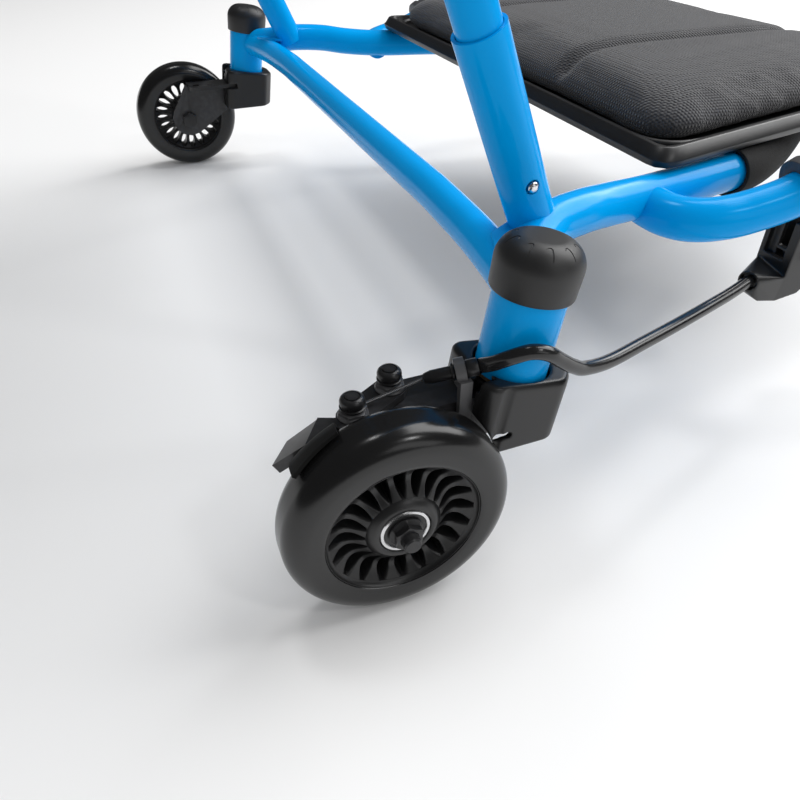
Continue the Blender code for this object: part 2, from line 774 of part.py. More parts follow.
def rail_sleeve(name, side):
    """A foam sleeve round the side rail beside the seat."""
    solid(name, swept(rail_part(side, 250, 432), SLEEVE_R, 12, TUBE_R + 2 * GAP), FOAM)


# Brake on the right rear wheel


def bolt_and_nut(name, x, inboard, under, plate_top, tall):
    """An upright bolt with its head below, a flanged nut on the plate and a lock nut with round shoulders."""
    head = [(0, under - 4.5), (5.5, under - 4.5), (5.5, under), (BRAKE_BOLT_R, under)]
    stack = [
        (BRAKE_BOLT_R, 0),
        (6.6, 0),
        (6.6, 1.2),
        (6.1, 1.6),
        (6.1, 4.6),
        (4.6, 5.2),
        (4.6, 5.7),
        (5.8, 6.2),
        (5.8, tall - 1.6),
        (5.2, tall - 0.4),
        (4.2, tall),
        (0, tall),
    ]
    profile = head + [(radius, plate_top + high) for radius, high in stack]
    shape = turned(profile, spot(RIGHT, x, inboard, 0), (0, 0, 1), 12)
    solid(name, shape, BLACK_STEEL, spot(RIGHT, x, inboard, under))


def tyre_space(lift):
    """The right tyre's outline grown by lift, as a cutter that keeps the brake off it."""
    shoulder = arc((WHEEL_R - TYRE_CORNER, TYRE_TREAD_HALF), TYRE_CORNER + lift, 0, 90, 3)
    half = shoulder + [(0, TYRE_HALF + lift)]
    profile = [(r, -y) for r, y in reversed(half)] + half
    return turned(profile, REAR_CENTRE["right"], (0, 1, 0), 48)


def lobed_outline():
    """The brake arm from above: a lobe at the pivot, one at the cable pinch, and a tail to the finger tab."""
    dx, dy = PIVOT[0] - PINCH[0], PIVOT[1] - PINCH[1]
    lean = math.degrees(math.atan2(dy, dx))
    front = arc(PIVOT, BRAKE_LOBE_R, lean - 90, lean + 90, 8)
    back = arc(PINCH, BRAKE_LOBE_R, lean + 95, lean + 140, 2)
    return front + back + [(-23.2, 25.7), (-31.8, 12.5), (-22, 15.4)] + arc(PINCH, BRAKE_LOBE_R, 230, 275, 2)


BOLT_STACK = 9.8
TAB_THICK = 4.5
TAB_LOW = 78.0
TAB_DOWN = unit((0.53, -0.35, -0.78))


def finger_tab(plate_top, grow, thick):
    """The tab that slopes down and out behind the wheel, or a slightly larger copy of it as a cutter."""
    upper = [(-22.4, 25.4, plate_top), (-31.0, 12.2, plate_top)]
    lower = [(-45.3, 16.2, TAB_LOW), (-36.3, 28.1, TAB_LOW)]
    top = np.array(upper + lower)
    middle = top.mean(axis=0)
    outward = (top - middle) / np.linalg.norm(top - middle, axis=1)[:, None]
    corners = [spot(RIGHT, *p) - TAB_DOWN * grow for p in top + outward * grow * 1.6]
    return prism(corners, TAB_DOWN * (thick + 2 * grow))


def brake_parts():
    """The lobed arm with its tab, both bolts and the shoe."""
    plate_low = FLANGE_TOP + GAP
    plate_top = plate_low + BRAKE_PLATE_THICK
    lobes = plate(RIGHT, lobed_outline(), plate_low, plate_top)
    arm = solid("brake_arm", lobes, BLACK_STEEL, spot(RIGHT, *PIVOT, plate_low))
    weld(arm, finger_tab(plate_top, 0, TAB_THICK))
    cut(arm, bolt_hole(RIGHT, PIVOT), bolt_hole(RIGHT, PINCH), tyre_space(SHOE_GAP))
    bolt_and_nut("pivot_bolt", *PIVOT, FLANGE_TOP - FLANGE_THICK - GAP, plate_top + GAP, BOLT_STACK)
    bolt_and_nut("pinch_bolt", *PINCH, plate_low - GAP, plate_top + GAP, BOLT_STACK)
    brake_shoe(plate_low, plate_top)


def tyre_offset(lift, first, y_end):
    """Points (radius, inboard) a set distance off the tyre, round its shoulder to the tread."""
    points = []
    centre_r = WHEEL_R - TYRE_CORNER
    radius = TYRE_CORNER + lift
    for a in np.radians(np.linspace(first, 10, 5)):
        points.append((centre_r + radius * math.cos(a), TYRE_TREAD_HALF + radius * math.sin(a)))
    points.append((WHEEL_R + lift, y_end))
    return points


SHOE_FIRST, SHOE_LAST = 114.0, 140.0


def brake_shoe(plate_low, plate_top):
    """A curved shoe that follows the tyre's inboard shoulder, narrowing to a tip on the tread."""
    outer, inner = [], []
    for angle in np.linspace(SHOE_FIRST, SHOE_LAST, 6):
        a = math.radians(angle)
        share = (angle - SHOE_FIRST) / (SHOE_LAST - SHOE_FIRST)
        reach = 3.0 - 2.5 * share
        for grid, lift in ((inner, SHOE_GAP), (outer, SHOE_GAP + SHOE_THICK)):
            row = []
            for radius, inboard in tyre_offset(lift, 80 - 35 * share, reach):
                row.append(spot(RIGHT, radius * math.cos(a), inboard, WHEEL_R + radius * math.sin(a)))
            grid.append(row)
    body = solid("brake_shoe", surface(inner, outer), BLACK_STEEL, spot(RIGHT, *PIVOT, plate_low))
    beside = [(-12, 14.0), (-22.2, 14.9), (-32.4, 12.0), (-23.5, 26.5), (-12, 30)]
    cut(body, plate(RIGHT, beside, plate_low - 12, plate_top + GAP))
    cut(body, finger_tab(plate_top, 2 * GAP, TAB_THICK))


def cable_stop():
    """A strap welded to the arm's web, with a ring at its top that the cable adjuster screws through."""
    strap = block(RIGHT, STRAP_X, (STRAP_IN, STRAP_OUT), (69, 95))
    body = solid("cable_stop", strap, GREY_STEEL, post_point(RIGHT, 0))
    centre = spot(RIGHT, *RING_CENTRE)
    axis = turn_out(RIGHT, *RING_AXIS)
    weld(body, block(RIGHT, STRAP_X, (STRAP_IN, 21), (92.6, 96.2)))
    weld(body, rod(centre - axis * RING_HALF, centre + axis * RING_HALF, RING_R, 14))
    cut(body, rod(centre - axis * 14, centre + axis * 14, RING_BORE_R, 14))
    for way in (-axis, axis):
        cut(body, rod(centre + way * (RING_HALF + 0.1), centre + way * 14, FERRULE_R + GAP, 16))


ADJUSTER_START = -15.5
ADJUSTER_END = 7.6
ADJUSTER_R = 2.9
ADJUSTER_BORE_R = 1.1


def cable_adjuster():
    """A hollow screw through the stop's ring, with the ferrule that holds the outer cable's end."""
    collar, ferrule = -RING_HALF - GAP, RING_HALF + GAP
    profile = [
        (ADJUSTER_BORE_R, ADJUSTER_START),
        (ADJUSTER_R, ADJUSTER_START),
        (ADJUSTER_R, collar - 1.2),
        (FERRULE_R, collar - 1.2),
        (FERRULE_R, collar),
        (ADJUSTER_R, collar),
        (ADJUSTER_R, ferrule),
        (FERRULE_R, ferrule),
        (FERRULE_R, ADJUSTER_END),
        (ADJUSTER_BORE_R, ADJUSTER_END),
    ]
    shape = turned(profile, spot(RIGHT, *RING_CENTRE), turn_out(RIGHT, *RING_AXIS), 12, ring=True)
    solid("cable_adjuster", shape, GREY_STEEL, spot(RIGHT, *RING_CENTRE))


CABLE_R = 3.0
CABLE_ROUTE = [
    (49.0, 13.4, 104.2),
    (53.0, 8.0, 109.4),
    (59.4, 4.2, 112.8),
    (66.5, 2.8, 111.2),
    (74, 4.0, 105.2),
    (82.4, 6, 98.6),
    (91, 8.6, 93.6),
    (108.4, 14.4, 88.9),
    (134.4, 24, 86),
    (160.8, 32.6, 84.7),
    (189.0, 41.6, 84.2),
    (209.4, 48.4, 83.8),
    (226.7, 54.4, 84.4),
]
WIRE_R = 0.75


def cord(name, route, radius, per_span, fineness):
    """A round cord: straight over its first span, then a smooth curve through its route's points, in mm."""
    curve = bpy.data.curves.new(name, "CURVE")
    curve.dimensions = "3D"
    curve.bevel_depth = radius * MM
    curve.bevel_resolution = fineness
    curve.use_fill_caps = True
    path = np.vstack([route[0], smooth_path(route[1:], per_span)])
    spline = curve.splines.new("POLY")
    spline.points.add(len(path) - 1)
    for point, place in zip(spline.points, path):
        point.co = (*(place * MM), 1)
    curve.materials.append(BLACK_PLASTIC)
    bpy.context.scene.collection.objects.link(bpy.data.objects.new(name, curve))


def brake_cable():
    ring = spot(RIGHT, *RING_CENTRE)
    axis = turn_out(RIGHT, *RING_AXIS)
    start = ring + axis * (ADJUSTER_END + GAP)
    route = [start, start + axis * 1.6] + [spot(RIGHT, *p) for p in CABLE_ROUTE]
    cord("cable_outer", route, CABLE_R, 2, 2)
    wire_end = ring + axis * (ADJUSTER_START - GAP)
    pinch_x, pinch_inboard = PINCH
    wire_z = FLANGE_TOP + GAP + BRAKE_PLATE_THICK + 1.8
    wire_start = spot(RIGHT, pinch_x + 6.6, pinch_inboard + 3.4, wire_z)
    cord("brake_wire", [wire_start, (wire_start + wire_end) / 2, wire_end], WIRE_R, 1, 2)


# Hand lever and its housing under the right grip tube

LEVER_PIVOT = (262.0, 59.0, 92.0)
LEVER_HALF = 4.5
LEVER_LINE = [(262, 92), (276.5, 99.5), (296, 113.5), (325, 131.5), (347, 142.5)]
LEVER_HALF_DEPTHS = [6.8, 5.6, 4.6, 4.2, 3.6]
SADDLE_OUTER = 50.0
SADDLE_WIDE = 22.0
SADDLE_SKEW = 12.0
SADDLE = [
    (220.5, 122),
    (221.8, 104),
    (220.3, 99.3),
    (217.6, 92.2),
    (222.5, 79.6),
    (228.7, 75),
    (233.3, 72.5),
    (246.5, 69.7),
    (262, 71.5),
    (272, 80),
    (275, 92),
    (272, 128),
    (262, 140),
]
SADDLE_TOP = 132.0
LEVER_SLOT = (251.0, 300.0)
PIN_R = 2.4
PIN_HALF = 12.6


def lever_housing():
    """A moulded saddle clamped under the grip tube: two cheeks for the lever, the cable's entry low at its back."""
    face = [spot(RIGHT, x, SADDLE_OUTER, z) for x, z in SADDLE]
    inward = vec(SADDLE_SKEW, SADDLE_WIDE, 0)
    body = solid("brake_lever_housing", prism(face, inward), BLACK_PLASTIC)
    cut(body, swept(grip_path(RIGHT), TUBE_R + GAP, 16))
    held = grip_held(RIGHT)
    start = held[0] - unit(held[1] - held[0]) * 6
    cut(body, swept(np.vstack([start, held]), GRIP_COLLAR_R + 2 * GAP, 16))
    above = (SADDLE_TOP, SADDLE_TOP + 18)
    cut(body, block(RIGHT, (205, 300), (SADDLE_OUTER - 20, SADDLE_OUTER + SADDLE_WIDE + 3), above))
    lever_at = LEVER_PIVOT[1]
    lever_room = LEVER_HALF + 2 * GAP
    cut(body, block(RIGHT, LEVER_SLOT, (lever_at - lever_room, lever_at + lever_room), (60, SADDLE_TOP + 8)))
    cut(body, block(RIGHT, (226.5, 243), (SADDLE_OUTER - 5, SADDLE_OUTER + 3), (96, 110)))
    pin = spot(RIGHT, *LEVER_PIVOT)
    across = vec(0, 1, 0)
    cut(body, rod(pin - across * 30, pin + across * 30, PIN_R + GAP, 12))
    entry = spot(RIGHT, *CABLE_ROUTE[-1])
    along = unit(entry - spot(RIGHT, *CABLE_ROUTE[-2]))
    cut(body, rod(entry - along * 14, entry + along * GAP, CABLE_R + 2 * GAP, 12))
    solid("lever_pin", rod(pin - across * PIN_HALF, pin + across * PIN_HALF, PIN_R, 10), BRIGHT, pin)


def brake_lever():
    """A two-finger blade that hangs below the grip and swings up on its pin."""
    path = smooth_path([(x, 0, z) for x, z in LEVER_LINE], 2)
    stations = np.linspace(0, 1, len(path))
    widths = np.interp(stations, np.linspace(0, 1, len(LEVER_HALF_DEPTHS)), LEVER_HALF_DEPTHS)
    slopes = np.gradient(path, axis=0)
    normals = np.stack([-slopes[:, 2], slopes[:, 0]], 1)
    normals /= np.linalg.norm(normals, axis=1)[:, None]
    flat = path[:, [0, 2]]
    upper = [tuple(p) for p in flat[1:] + normals[1:] * widths[1:, None]]
    lower = [tuple(p) for p in flat[1:] - normals[1:] * widths[1:, None]]
    round_end = arc(LEVER_PIVOT[::2], LEVER_HALF_DEPTHS[0], 300, 140, 6)
    outline = upper + list(reversed(lower)) + round_end
    near, far = LEVER_PIVOT[1] - LEVER_HALF, LEVER_PIVOT[1] + LEVER_HALF
    pin = spot(RIGHT, *LEVER_PIVOT)
    body = solid("brake_lever", side_plate(RIGHT, outline, near, far), BLACK_PLASTIC, pin)
    cut(body, rod(pin - vec(0, 30, 0), pin + vec(0, 30, 0), PIN_R + GAP, 12))


# Seat and backrest


def seat_outline(inset):
    """The seat from above: a tapered oblong with round corners, drawn in all round by inset."""
    back, front = SEAT_REAR + SEAT_CORNER, SEAT_FRONT - SEAT_CORNER
    taper = math.degrees(math.atan2(SEAT_HALF_REAR - SEAT_HALF_FRONT, front - back))
    radius = SEAT_CORNER - inset
    near = arc((back, SEAT_HALF_REAR - SEAT_CORNER), radius, 180, 90 - taper, 3)
    far = arc((front, SEAT_HALF_FRONT - SEAT_CORNER), radius, 90 - taper, 0, 3)
    half = near + far
    return half + [(x, -y) for x, y in reversed(half)]


def seat_shell():
    """A moulded pan with a low rim, chamfered along its top, that rests across the two sleeved rails."""
    section = [
        (1.5, 0.0),
        (0.0, 4.0),
        (4.5, SEAT_RIM),
        (7.5, SEAT_RIM),
        (9.0, SEAT_SHELL),
    ]
    points, faces = [], []
    for inset, lift in section:
        points += [vec(REAR_AXLE_X + x, y, SEAT_Z + lift) for x, y in seat_outline(inset)]
    count = len(seat_outline(0.0))
    for row in range(len(section) - 1):
        low = row * count
        for k in range(count):
            n = (k + 1) % count
            faces.append((low + k, low + n, low + count + n, low + count + k))
    last = len(points) - count
    faces += [tuple(range(count)), tuple(range(last, last + count))]
    solid("seat_shell", (points, faces), BLACK_PLASTIC)


CHANNELS = (0.3, 0.7)


def cushion(name, corner, up, out, width, height, thick, crown, corner_r, flare):
    """A padded cushion: rounded corners, crowned face and sewn channels, wider at its top by flare."""
    columns, rows = 14, 12
    across = vec(0, 1, 0)
    front, back = [], []
    for i in range(rows + 1):
        v = 0.5 - 0.5 * math.cos(math.pi * i / rows)
        edge = min(v, 1 - v) * height
        inset = corner_r - math.sqrt(corner_r**2 - max(corner_r - edge, 0) ** 2)
        narrow = 1 + (flare * v - 2 * inset) / width
        row_front, row_back = [], []
        for j in range(columns + 1):
            share = j / columns
            u = 0.5 + (share - 0.5) * narrow
            dome = (1 - (2 * share - 1) ** 4) * (1 - (2 * v - 1) ** 4)
            pull_u = 0.004 * (2 * u - 1) * (1 - (2 * v - 1) ** 2)
            pull_v = 0.004 * (2 * v - 1) * (1 - (2 * share - 1) ** 2)
            seam = min(abs(u - c) for c in CHANNELS) * width
            groove = 0.35 * thick * math.exp(-((seam / 7.0) ** 2)) * dome
            place = corner + across * width * (u - pull_u) + up * height * (v - pull_v)
            level = 0.45 * thick + (0.55 * thick + crown) * dome ** 0.6 - groove
            row_front.append(place + out * level)
            row_back.append(place)
        front.append(row_front)
        back.append(row_back)
    solid(name, surface(front, back), FABRIC)


def seat_pad():
    """The seat's cushion, just inside the shell's rim."""
    inset = 11.5
    width = 2 * (SEAT_HALF_REAR - inset)
    height = SEAT_FRONT - SEAT_REAR - 2 * inset
    taper = (SEAT_HALF_FRONT - SEAT_HALF_REAR) / (SEAT_FRONT - SEAT_REAR - 2 * SEAT_CORNER)
    flare = 2 * taper * height
    corner = vec(REAR_AXLE_X + SEAT_REAR + inset, -width / 2, SEAT_Z + SEAT_SHELL + GAP)
    cushion("seat_pad", corner, vec(1, 0, 0), vec(0, 0, 1), width, height, PAD_THICK, 6.0, 26.0, flare)


BACK_FOOT = 14.0


def backrest_route():
    """The backrest's hoop: up from inside one riser, round the top and down into the other."""
    top = (BACK_TOP_Z - RISER_FOOT[2]) / RISER_LEAN[2]
    right_top = riser_point(RIGHT, top)
    left_top = riser_point(LEFT, top)
    bend = HOOP_BEND
    sweep = []
    for foot, crown, hand in ((RIGHT, right_top, 1), (LEFT, left_top, -1)):
        lean = unit(riser_point(foot, top) - riser_point(foot, 0))
        inward = vec(0, hand, 0)
        corner = crown - lean * bend + inward * bend
        turn = []
        for a in np.radians(np.linspace(0, 90, 5)):
            turn.append(corner - inward * bend * math.cos(a) + lean * bend * math.sin(a))
        sweep.append(turn)
    halfway = RISER_LENGTH + 60
    right = [riser_point(RIGHT, BACK_FOOT), riser_point(RIGHT, halfway)] + sweep[0]
    left = [riser_point(LEFT, BACK_FOOT), riser_point(LEFT, halfway)] + sweep[1]
    return np.array(right + left[::-1])


def backrest():
    """A bent hoop that plugs into both risers, its legs bored for the snap buttons."""
    body = solid("backrest_frame", swept(backrest_route(), LEG_R, 12), BLUE)
    for side in SIDES.values():
        cut(body, rod(riser_point(side, 0), riser_point(side, RISER_LENGTH - 20), LEG_R - LEG_WALL, 12))
        hole = riser_point(side, BUTTON_ALONG)
        cut(body, rod(hole, hole + button_direction(side) * 20, BUTTON_R + GAP, 12))


def backrest_pad():
    """A padded panel between the hoop's legs."""
    low_along = 118.0
    high_along = (BACK_TOP_Z - RISER_FOOT[2]) / RISER_LEAN[2] - LEG_R - 2 * GAP
    low = riser_point(RIGHT, low_along)
    half = TRACK / 2 - (RISER_FOOT[1] + RISER_LEAN[1] * low_along) - LEG_R - GAP
    lean = unit(riser_point(RIGHT, high_along) - low)
    lean = unit((lean[0], 0, lean[2]))
    out = vec(lean[2], 0, -lean[0])
    thick = 24.0
    corner = vec(low[0], -half, low[2]) - out * thick * 0.5
    height = high_along - low_along
    flare = -2 * RISER_LEAN[1] * height
    cushion("backrest_pad", corner, lean, out, 2 * half, height, thick, 5.0, HOOP_BEND - LEG_R, flare)


# Front boom, fork and foot bar

HEAD_X = FRONT_AXLE_X + HEAD_AHEAD
HEAD_BORE_R = 8.8
HEAD_BOLT_R = 5.0


def head_rod(low, high, radius, sides):
    """An upright bar on the steering axis."""
    return rod((HEAD_X, 0, low), (HEAD_X, 0, high), radius, sides)


def front_boom():
    """A straight tube pushed into the frame's socket, with the steering head welded on its front."""
    back = vec(REAR_AXLE_X + SOCKET_BACK + 12, 0, BOOM_Z)
    forward = vec(1, 0, 0)
    body = solid("front_boom", rod(back, (HEAD_X, 0, BOOM_Z), BOOM_R, 20), BLUE)
    cut(body, rod(back - forward * 10, back + forward * 130, BOOM_R - BOOM_WALL, 20))
    weld(body, head_rod(HEAD_LOW, HEAD_HIGH, HEAD_R, 20))
    cut(body, head_rod(HEAD_LOW - 20, HEAD_HIGH + 20, HEAD_BORE_R, 16))
    cut(body, rod(BOOM_HOLE, BOOM_HOLE + vec(0, 0, 30), BUTTON_R + GAP, 12))
    bush = [
        (HEAD_R - 3, CROWN_HIGH + GAP),
        (HEAD_R - 3, HEAD_LOW - GAP),
        (HEAD_BORE_R - GAP, HEAD_LOW - GAP),
        (HEAD_BORE_R - GAP, HEAD_HIGH),
        (HEAD_BOLT_R + SLIDE_FIT, HEAD_HIGH),
        (HEAD_BOLT_R + SLIDE_FIT, CROWN_HIGH + GAP),
    ]
    solid("head_bush", turned(bush, (HEAD_X, 0, 0), (0, 0, 1), 16, ring=True), BRONZE, (HEAD_X, 0, HEAD_LOW))


def fork():
    """Two plate legs under a crown, which also carries the cross bar for the feet."""
    bar_x = FRONT_AXLE_X + FOOT_BAR_AHEAD
    crown_half = FORK_GAP_HALF + FORK_PLATE
    crown = [(FRONT_AXLE_X - 14, -crown_half), (bar_x, -crown_half)]
    crown += [(x, -y) for x, y in reversed(crown)]
    origin = (HEAD_X, 0, CROWN_LOW)
    crown_plate = prism([vec(x, y, CROWN_LOW) for x, y in crown], (0, 0, CROWN_HIGH - CROWN_LOW))
    body = solid("fork", crown_plate, BLUE, origin)
    leg = arc((FRONT_AXLE_X, WHEEL_R), 12.0, 170, 370, 8)
    leg += [(FRONT_AXLE_X + 38, CROWN_HIGH - 1), (FRONT_AXLE_X - 12, CROWN_HIGH - 1)]
    for hand in (-1, 1):
        inner = hand * FORK_GAP_HALF
        weld(body, prism([vec(x, inner, z) for x, z in leg], (0, hand * (FORK_PLATE - 0.2), 0)))
    bar_z = CROWN_HIGH - 2
    reach = FOOT_BAR_HALF - 4
    weld(body, rod((bar_x, -reach, bar_z), (bar_x, reach, bar_z), FOOT_BAR_R, 16))
    axle = FRONT_CENTRE
    across = vec(0, 1, 0)
    for hand in (-1, 1):
        near, far = axle + across * hand * (BEARING_FACE + GAP), axle + across * hand * (FORK_GAP_HALF + 1)
        weld(body, rod(near, far, FORK_SPACER_R, 12))
    cut(body, rod(axle + across * 60, axle - across * 60, AXLE_R + GAP, 14))
    cut(body, head_rod(CROWN_LOW - 10, CROWN_HIGH + 10, HEAD_BOLT_R + GAP, 14))
    washer_top = HEAD_HIGH + 1.8
    bolt = solid("head_bolt", head_rod(CROWN_LOW + 2 * GAP, washer_top, HEAD_BOLT_R, 12), BLACK_STEEL, origin)
    weld(bolt, head_rod(HEAD_HIGH + GAP, washer_top, 11, 12))
    weld(bolt, head_rod(washer_top - 1, HEAD_HIGH + 7, 8.6, 12))
    for tag, side in SIDES.items():
        end = vec(bar_x, side * FOOT_BAR_HALF, bar_z)
        inward = vec(0, -side, 0)
        peg = [
            (0, 0),
            (PEG_R - 2, 0),
            (PEG_R, 2),
            (PEG_R, PEG_LENGTH - 2),
            (PEG_R - 2, PEG_LENGTH),
            (FOOT_BAR_R + GAP, PEG_LENGTH),
            (FOOT_BAR_R + GAP, 4 - GAP),
            (0, 4 - GAP),
        ]
        solid(f"foot_peg_{tag}", turned(peg, end, inward, 16), RUBBER, end)


def axle_bolt(name, centre, outward, head_at, end_at):
    """A bolt across a wheel: hexagon head at one side and a plain end at the other."""
    start, end = -head_at - 1, end_at
    shank = [(0, start), (AXLE_R, start), (AXLE_R, end - 0.8), (AXLE_R - 0.8, end), (0, end)]
    body = solid(name, turned(shank, centre, outward, 12), BLACK_STEEL, centre)
    weld(body, rod(centre - outward * (head_at + BOLT_HEAD), centre - outward * head_at, BOLT_HEX_R, 6))


def axle_nut(name, centre, outward):
    """A chamfered nut against the outer bearing."""
    low = BEARING_FACE + GAP
    high = low + NUT_HIGH
    bore = (AXLE_R + GAP) / math.cos(math.pi / 6)
    bevel = 0.6
    narrow = NUT_HEX_R - bevel
    flank = [(narrow, low), (NUT_HEX_R, low + bevel), (NUT_HEX_R, high - bevel), (narrow, high)]
    profile = flank + [(bore, high), (bore, low)]
    solid(name, turned(profile, centre, outward, 6, ring=True), BLACK_STEEL, centre)


frame_tubes()
for tag, side in SIDES.items():
    outward = vec(0, side, 0)
    centre = REAR_CENTRE[tag]
    wheel(tag, centre, outward)
    axle_bolt(f"axle_bolt_{tag}", centre, outward, ARM_OUT + GAP, AXLE_END)
    axle_nut(f"axle_nut_{tag}", centre, outward)
    caster_housing(f"caster_housing_{tag}", side)
    axle_arm(f"axle_arm_{tag}", side)
    swivel_parts(tag, side)
    grip_tube(f"grip_tube_{tag}", side)
    hand_grip(f"hand_grip_{tag}", side)
    rail_sleeve(f"rail_sleeve_{tag}", side)
    button_at = riser_point(side, BUTTON_ALONG)
    snap_button(f"snap_button_{tag}", button_at, button_direction(side), TUBE_R)
brake_parts()
cable_stop()
cable_adjuster()
brake_cable()
lever_housing()
brake_lever()
seat_shell()
seat_pad()
backrest()
backrest_pad()
front_boom()
snap_button("snap_button_boom", BOOM_HOLE, vec(0, 0, 1), SOCKET_R)
fork()
wheel("front", FRONT_CENTRE, vec(0, -1, 0))
FORK_OUTSIDE = FORK_GAP_HALF + FORK_PLATE
axle_bolt("axle_bolt_front", FRONT_CENTRE, vec(0, -1, 0), FORK_OUTSIDE + GAP, FORK_OUTSIDE)
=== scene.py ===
import math

import bmesh
import bpy
import numpy as np
from mathutils import Matrix


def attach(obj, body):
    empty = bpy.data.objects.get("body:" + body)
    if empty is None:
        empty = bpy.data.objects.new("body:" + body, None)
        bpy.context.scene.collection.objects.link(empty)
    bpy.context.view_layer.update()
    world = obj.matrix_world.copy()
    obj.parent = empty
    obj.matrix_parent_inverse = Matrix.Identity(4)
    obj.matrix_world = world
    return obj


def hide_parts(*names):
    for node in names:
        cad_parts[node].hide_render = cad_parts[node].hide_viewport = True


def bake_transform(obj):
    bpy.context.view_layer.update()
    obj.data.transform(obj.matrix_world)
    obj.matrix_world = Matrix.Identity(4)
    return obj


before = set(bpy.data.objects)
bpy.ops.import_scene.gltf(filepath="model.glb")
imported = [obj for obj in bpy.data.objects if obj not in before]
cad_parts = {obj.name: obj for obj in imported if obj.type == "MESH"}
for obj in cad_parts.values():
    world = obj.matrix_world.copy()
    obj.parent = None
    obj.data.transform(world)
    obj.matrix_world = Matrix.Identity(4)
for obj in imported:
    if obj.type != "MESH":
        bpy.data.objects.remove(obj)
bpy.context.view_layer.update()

# View of the scooter: the camera stands behind and above the right rear wheel and looks down along the frame.
# A plain pale floor takes the shadows, and soft lamps hang over the scooter.
scene = bpy.context.scene
scene.view_settings.view_transform = "Standard"

lens = bpy.data.cameras.new("view")
lens.lens = 30.97
lens.clip_start = 0.01
view = bpy.data.objects.new("view", lens)
view.location = (-0.45181, -0.48816, 0.26610)
turn = Matrix.Rotation(math.radians(-21.55), 3, "Z")
tip = Matrix.Rotation(math.radians(51.52), 3, "X")
roll = Matrix.Rotation(math.radians(-0.193), 3, "Z")
view.rotation_euler = (turn @ tip @ roll).to_euler()
scene.collection.objects.link(view)
scene.camera = view


def soft_lamp(name, place, towards, size, watts):
    """An oblong lamp at a place, facing a point; its own axes are right, up and back."""
    lamp = bpy.data.lights.new(name, "AREA")
    lamp.shape = "RECTANGLE"
    lamp.size, lamp.size_y = size
    lamp.energy = watts
    holder = bpy.data.objects.new(name, lamp)
    holder.location = place
    back = np.array(place, float) - np.array(towards, float)
    back /= np.linalg.norm(back)
    right = np.cross((0.0, 1.0, 0.001), back)
    right /= np.linalg.norm(right)
    holder.rotation_euler = Matrix(np.linalg.inv(np.stack([right, np.cross(back, right), back]))).to_euler()
    scene.collection.objects.link(holder)


soft_lamp("lamp_front", (2.0, 0.2, 2.3), (-0.3, -0.1, 0.0), (3.0, 2.6), 112)
soft_lamp("lamp_low_front", (2.1, 1.1, 1.6), (-0.2, -0.2, 0.1), (1.5, 0.8), 8)
soft_lamp("lamp_over", (-0.5, 0.35, 2.0), (-0.39, -0.31, 0.1), (0.36, 0.28), 5)
soft_lamp("lamp_spot", (0.48, -1.51, 1.73), (-0.38, -0.31, 0.1), (0.24, 0.18), 4)
soft_lamp("lamp_side", (0.5, -2.3, 0.9), (-0.25, -0.3, 0.1), (1.5, 0.8), 4)


def put(tree, kind, values=(), links=(), mode=None):
    """A new shader node of a kind and mode, with these values on its inputs and these outputs led to them."""
    node = tree.nodes.new("ShaderNode" + kind)
    if mode and kind == "Mix":
        node.data_type = mode
    elif mode and kind == "Group":
        node.node_tree = mode
    elif mode:
        node.operation = mode
    for socket, value in dict(values).items():
        node.inputs[socket].default_value = value
    for socket, source in dict(links).items():
        tree.links.new(source, node.inputs[socket])
    return node


ROOM_LIGHT = 0.47
ROOM_SEEN_IN_GLOSS = 0.07
world = bpy.data.worlds.new("studio")
scene.world = world
world.use_nodes = True
tree = world.node_tree
sky = tree.nodes["Background"]
sky.inputs["Color"].default_value = (1.0, 1.0, 1.0, 1.0)
ray = put(tree, "LightPath").outputs
mirrored = put(tree, "Mix", {"A": ROOM_LIGHT, "B": ROOM_SEEN_IN_GLOSS}, {"Factor": ray["Is Glossy Ray"]})
straight = put(tree, "Mix", {"B": 1.0}, {"Factor": ray["Is Camera Ray"], "A": mirrored.outputs["Result"]})
tree.links.new(straight.outputs["Result"], sky.inputs["Strength"])

floor_mesh = bpy.data.meshes.new("floor")
floor_mesh.from_pydata([(-9, -9, 0), (9, -9, 0), (9, 9, 0), (-9, 9, 0)], [], [(0, 1, 2, 3)])
floor = bpy.data.objects.new("floor", floor_mesh)
scene.collection.objects.link(floor)
floor_paint = bpy.data.materials.new("pale_floor")
floor_paint.use_nodes = True
floor_shader = floor_paint.node_tree.nodes["Principled BSDF"]
floor_shader.inputs["Base Color"].default_value = (0.84, 0.84, 0.84, 1.0)
floor_shader.inputs["Roughness"].default_value = 0.9
floor_mesh.materials.append(floor_paint)


# Welded frame: two raked posts, a cross tube, two side rails, risers, fins and the boom's socket.
# Round steel tube, bent and welded, then powder coated in gloss blue; posts and risers are open tubes.
REAR_AXLE = -381.5
HALF_TRACK = 304.0
AXLE_UP = 50.0
SIDES = {"right": -1, "left": 1}
RAIL_R = 11.1
CROSS_R = 10.0
POST_R = 15.9
POST_BORE = 13.9
POST_LOW = 40.6
POST_HIGH = 89.0
RAKE = math.radians(8.8)
SWIVEL = np.array([math.sin(RAKE), 0.0, math.cos(RAKE)])
SWIVEL_FORWARD = 57.7
SWIVEL_INBOARD = 25.0
UP = (0.0, 0.0, 1.0)


def corner(side, places):
    """Places near a rear wheel, in millimetres: forward of the axle, in from the wheel's middle, up."""
    places = np.asarray(places, float)
    return np.stack([REAR_AXLE + places[..., 0], side * (HALF_TRACK - places[..., 1]), places[..., 2]], -1)


def swivel_place(side, along=0.0):
    """A place on the post's raked axis, counted from the height of the wheel's axle."""
    return corner(side, (SWIVEL_FORWARD, SWIVEL_INBOARD, AXLE_UP)) + SWIVEL * along


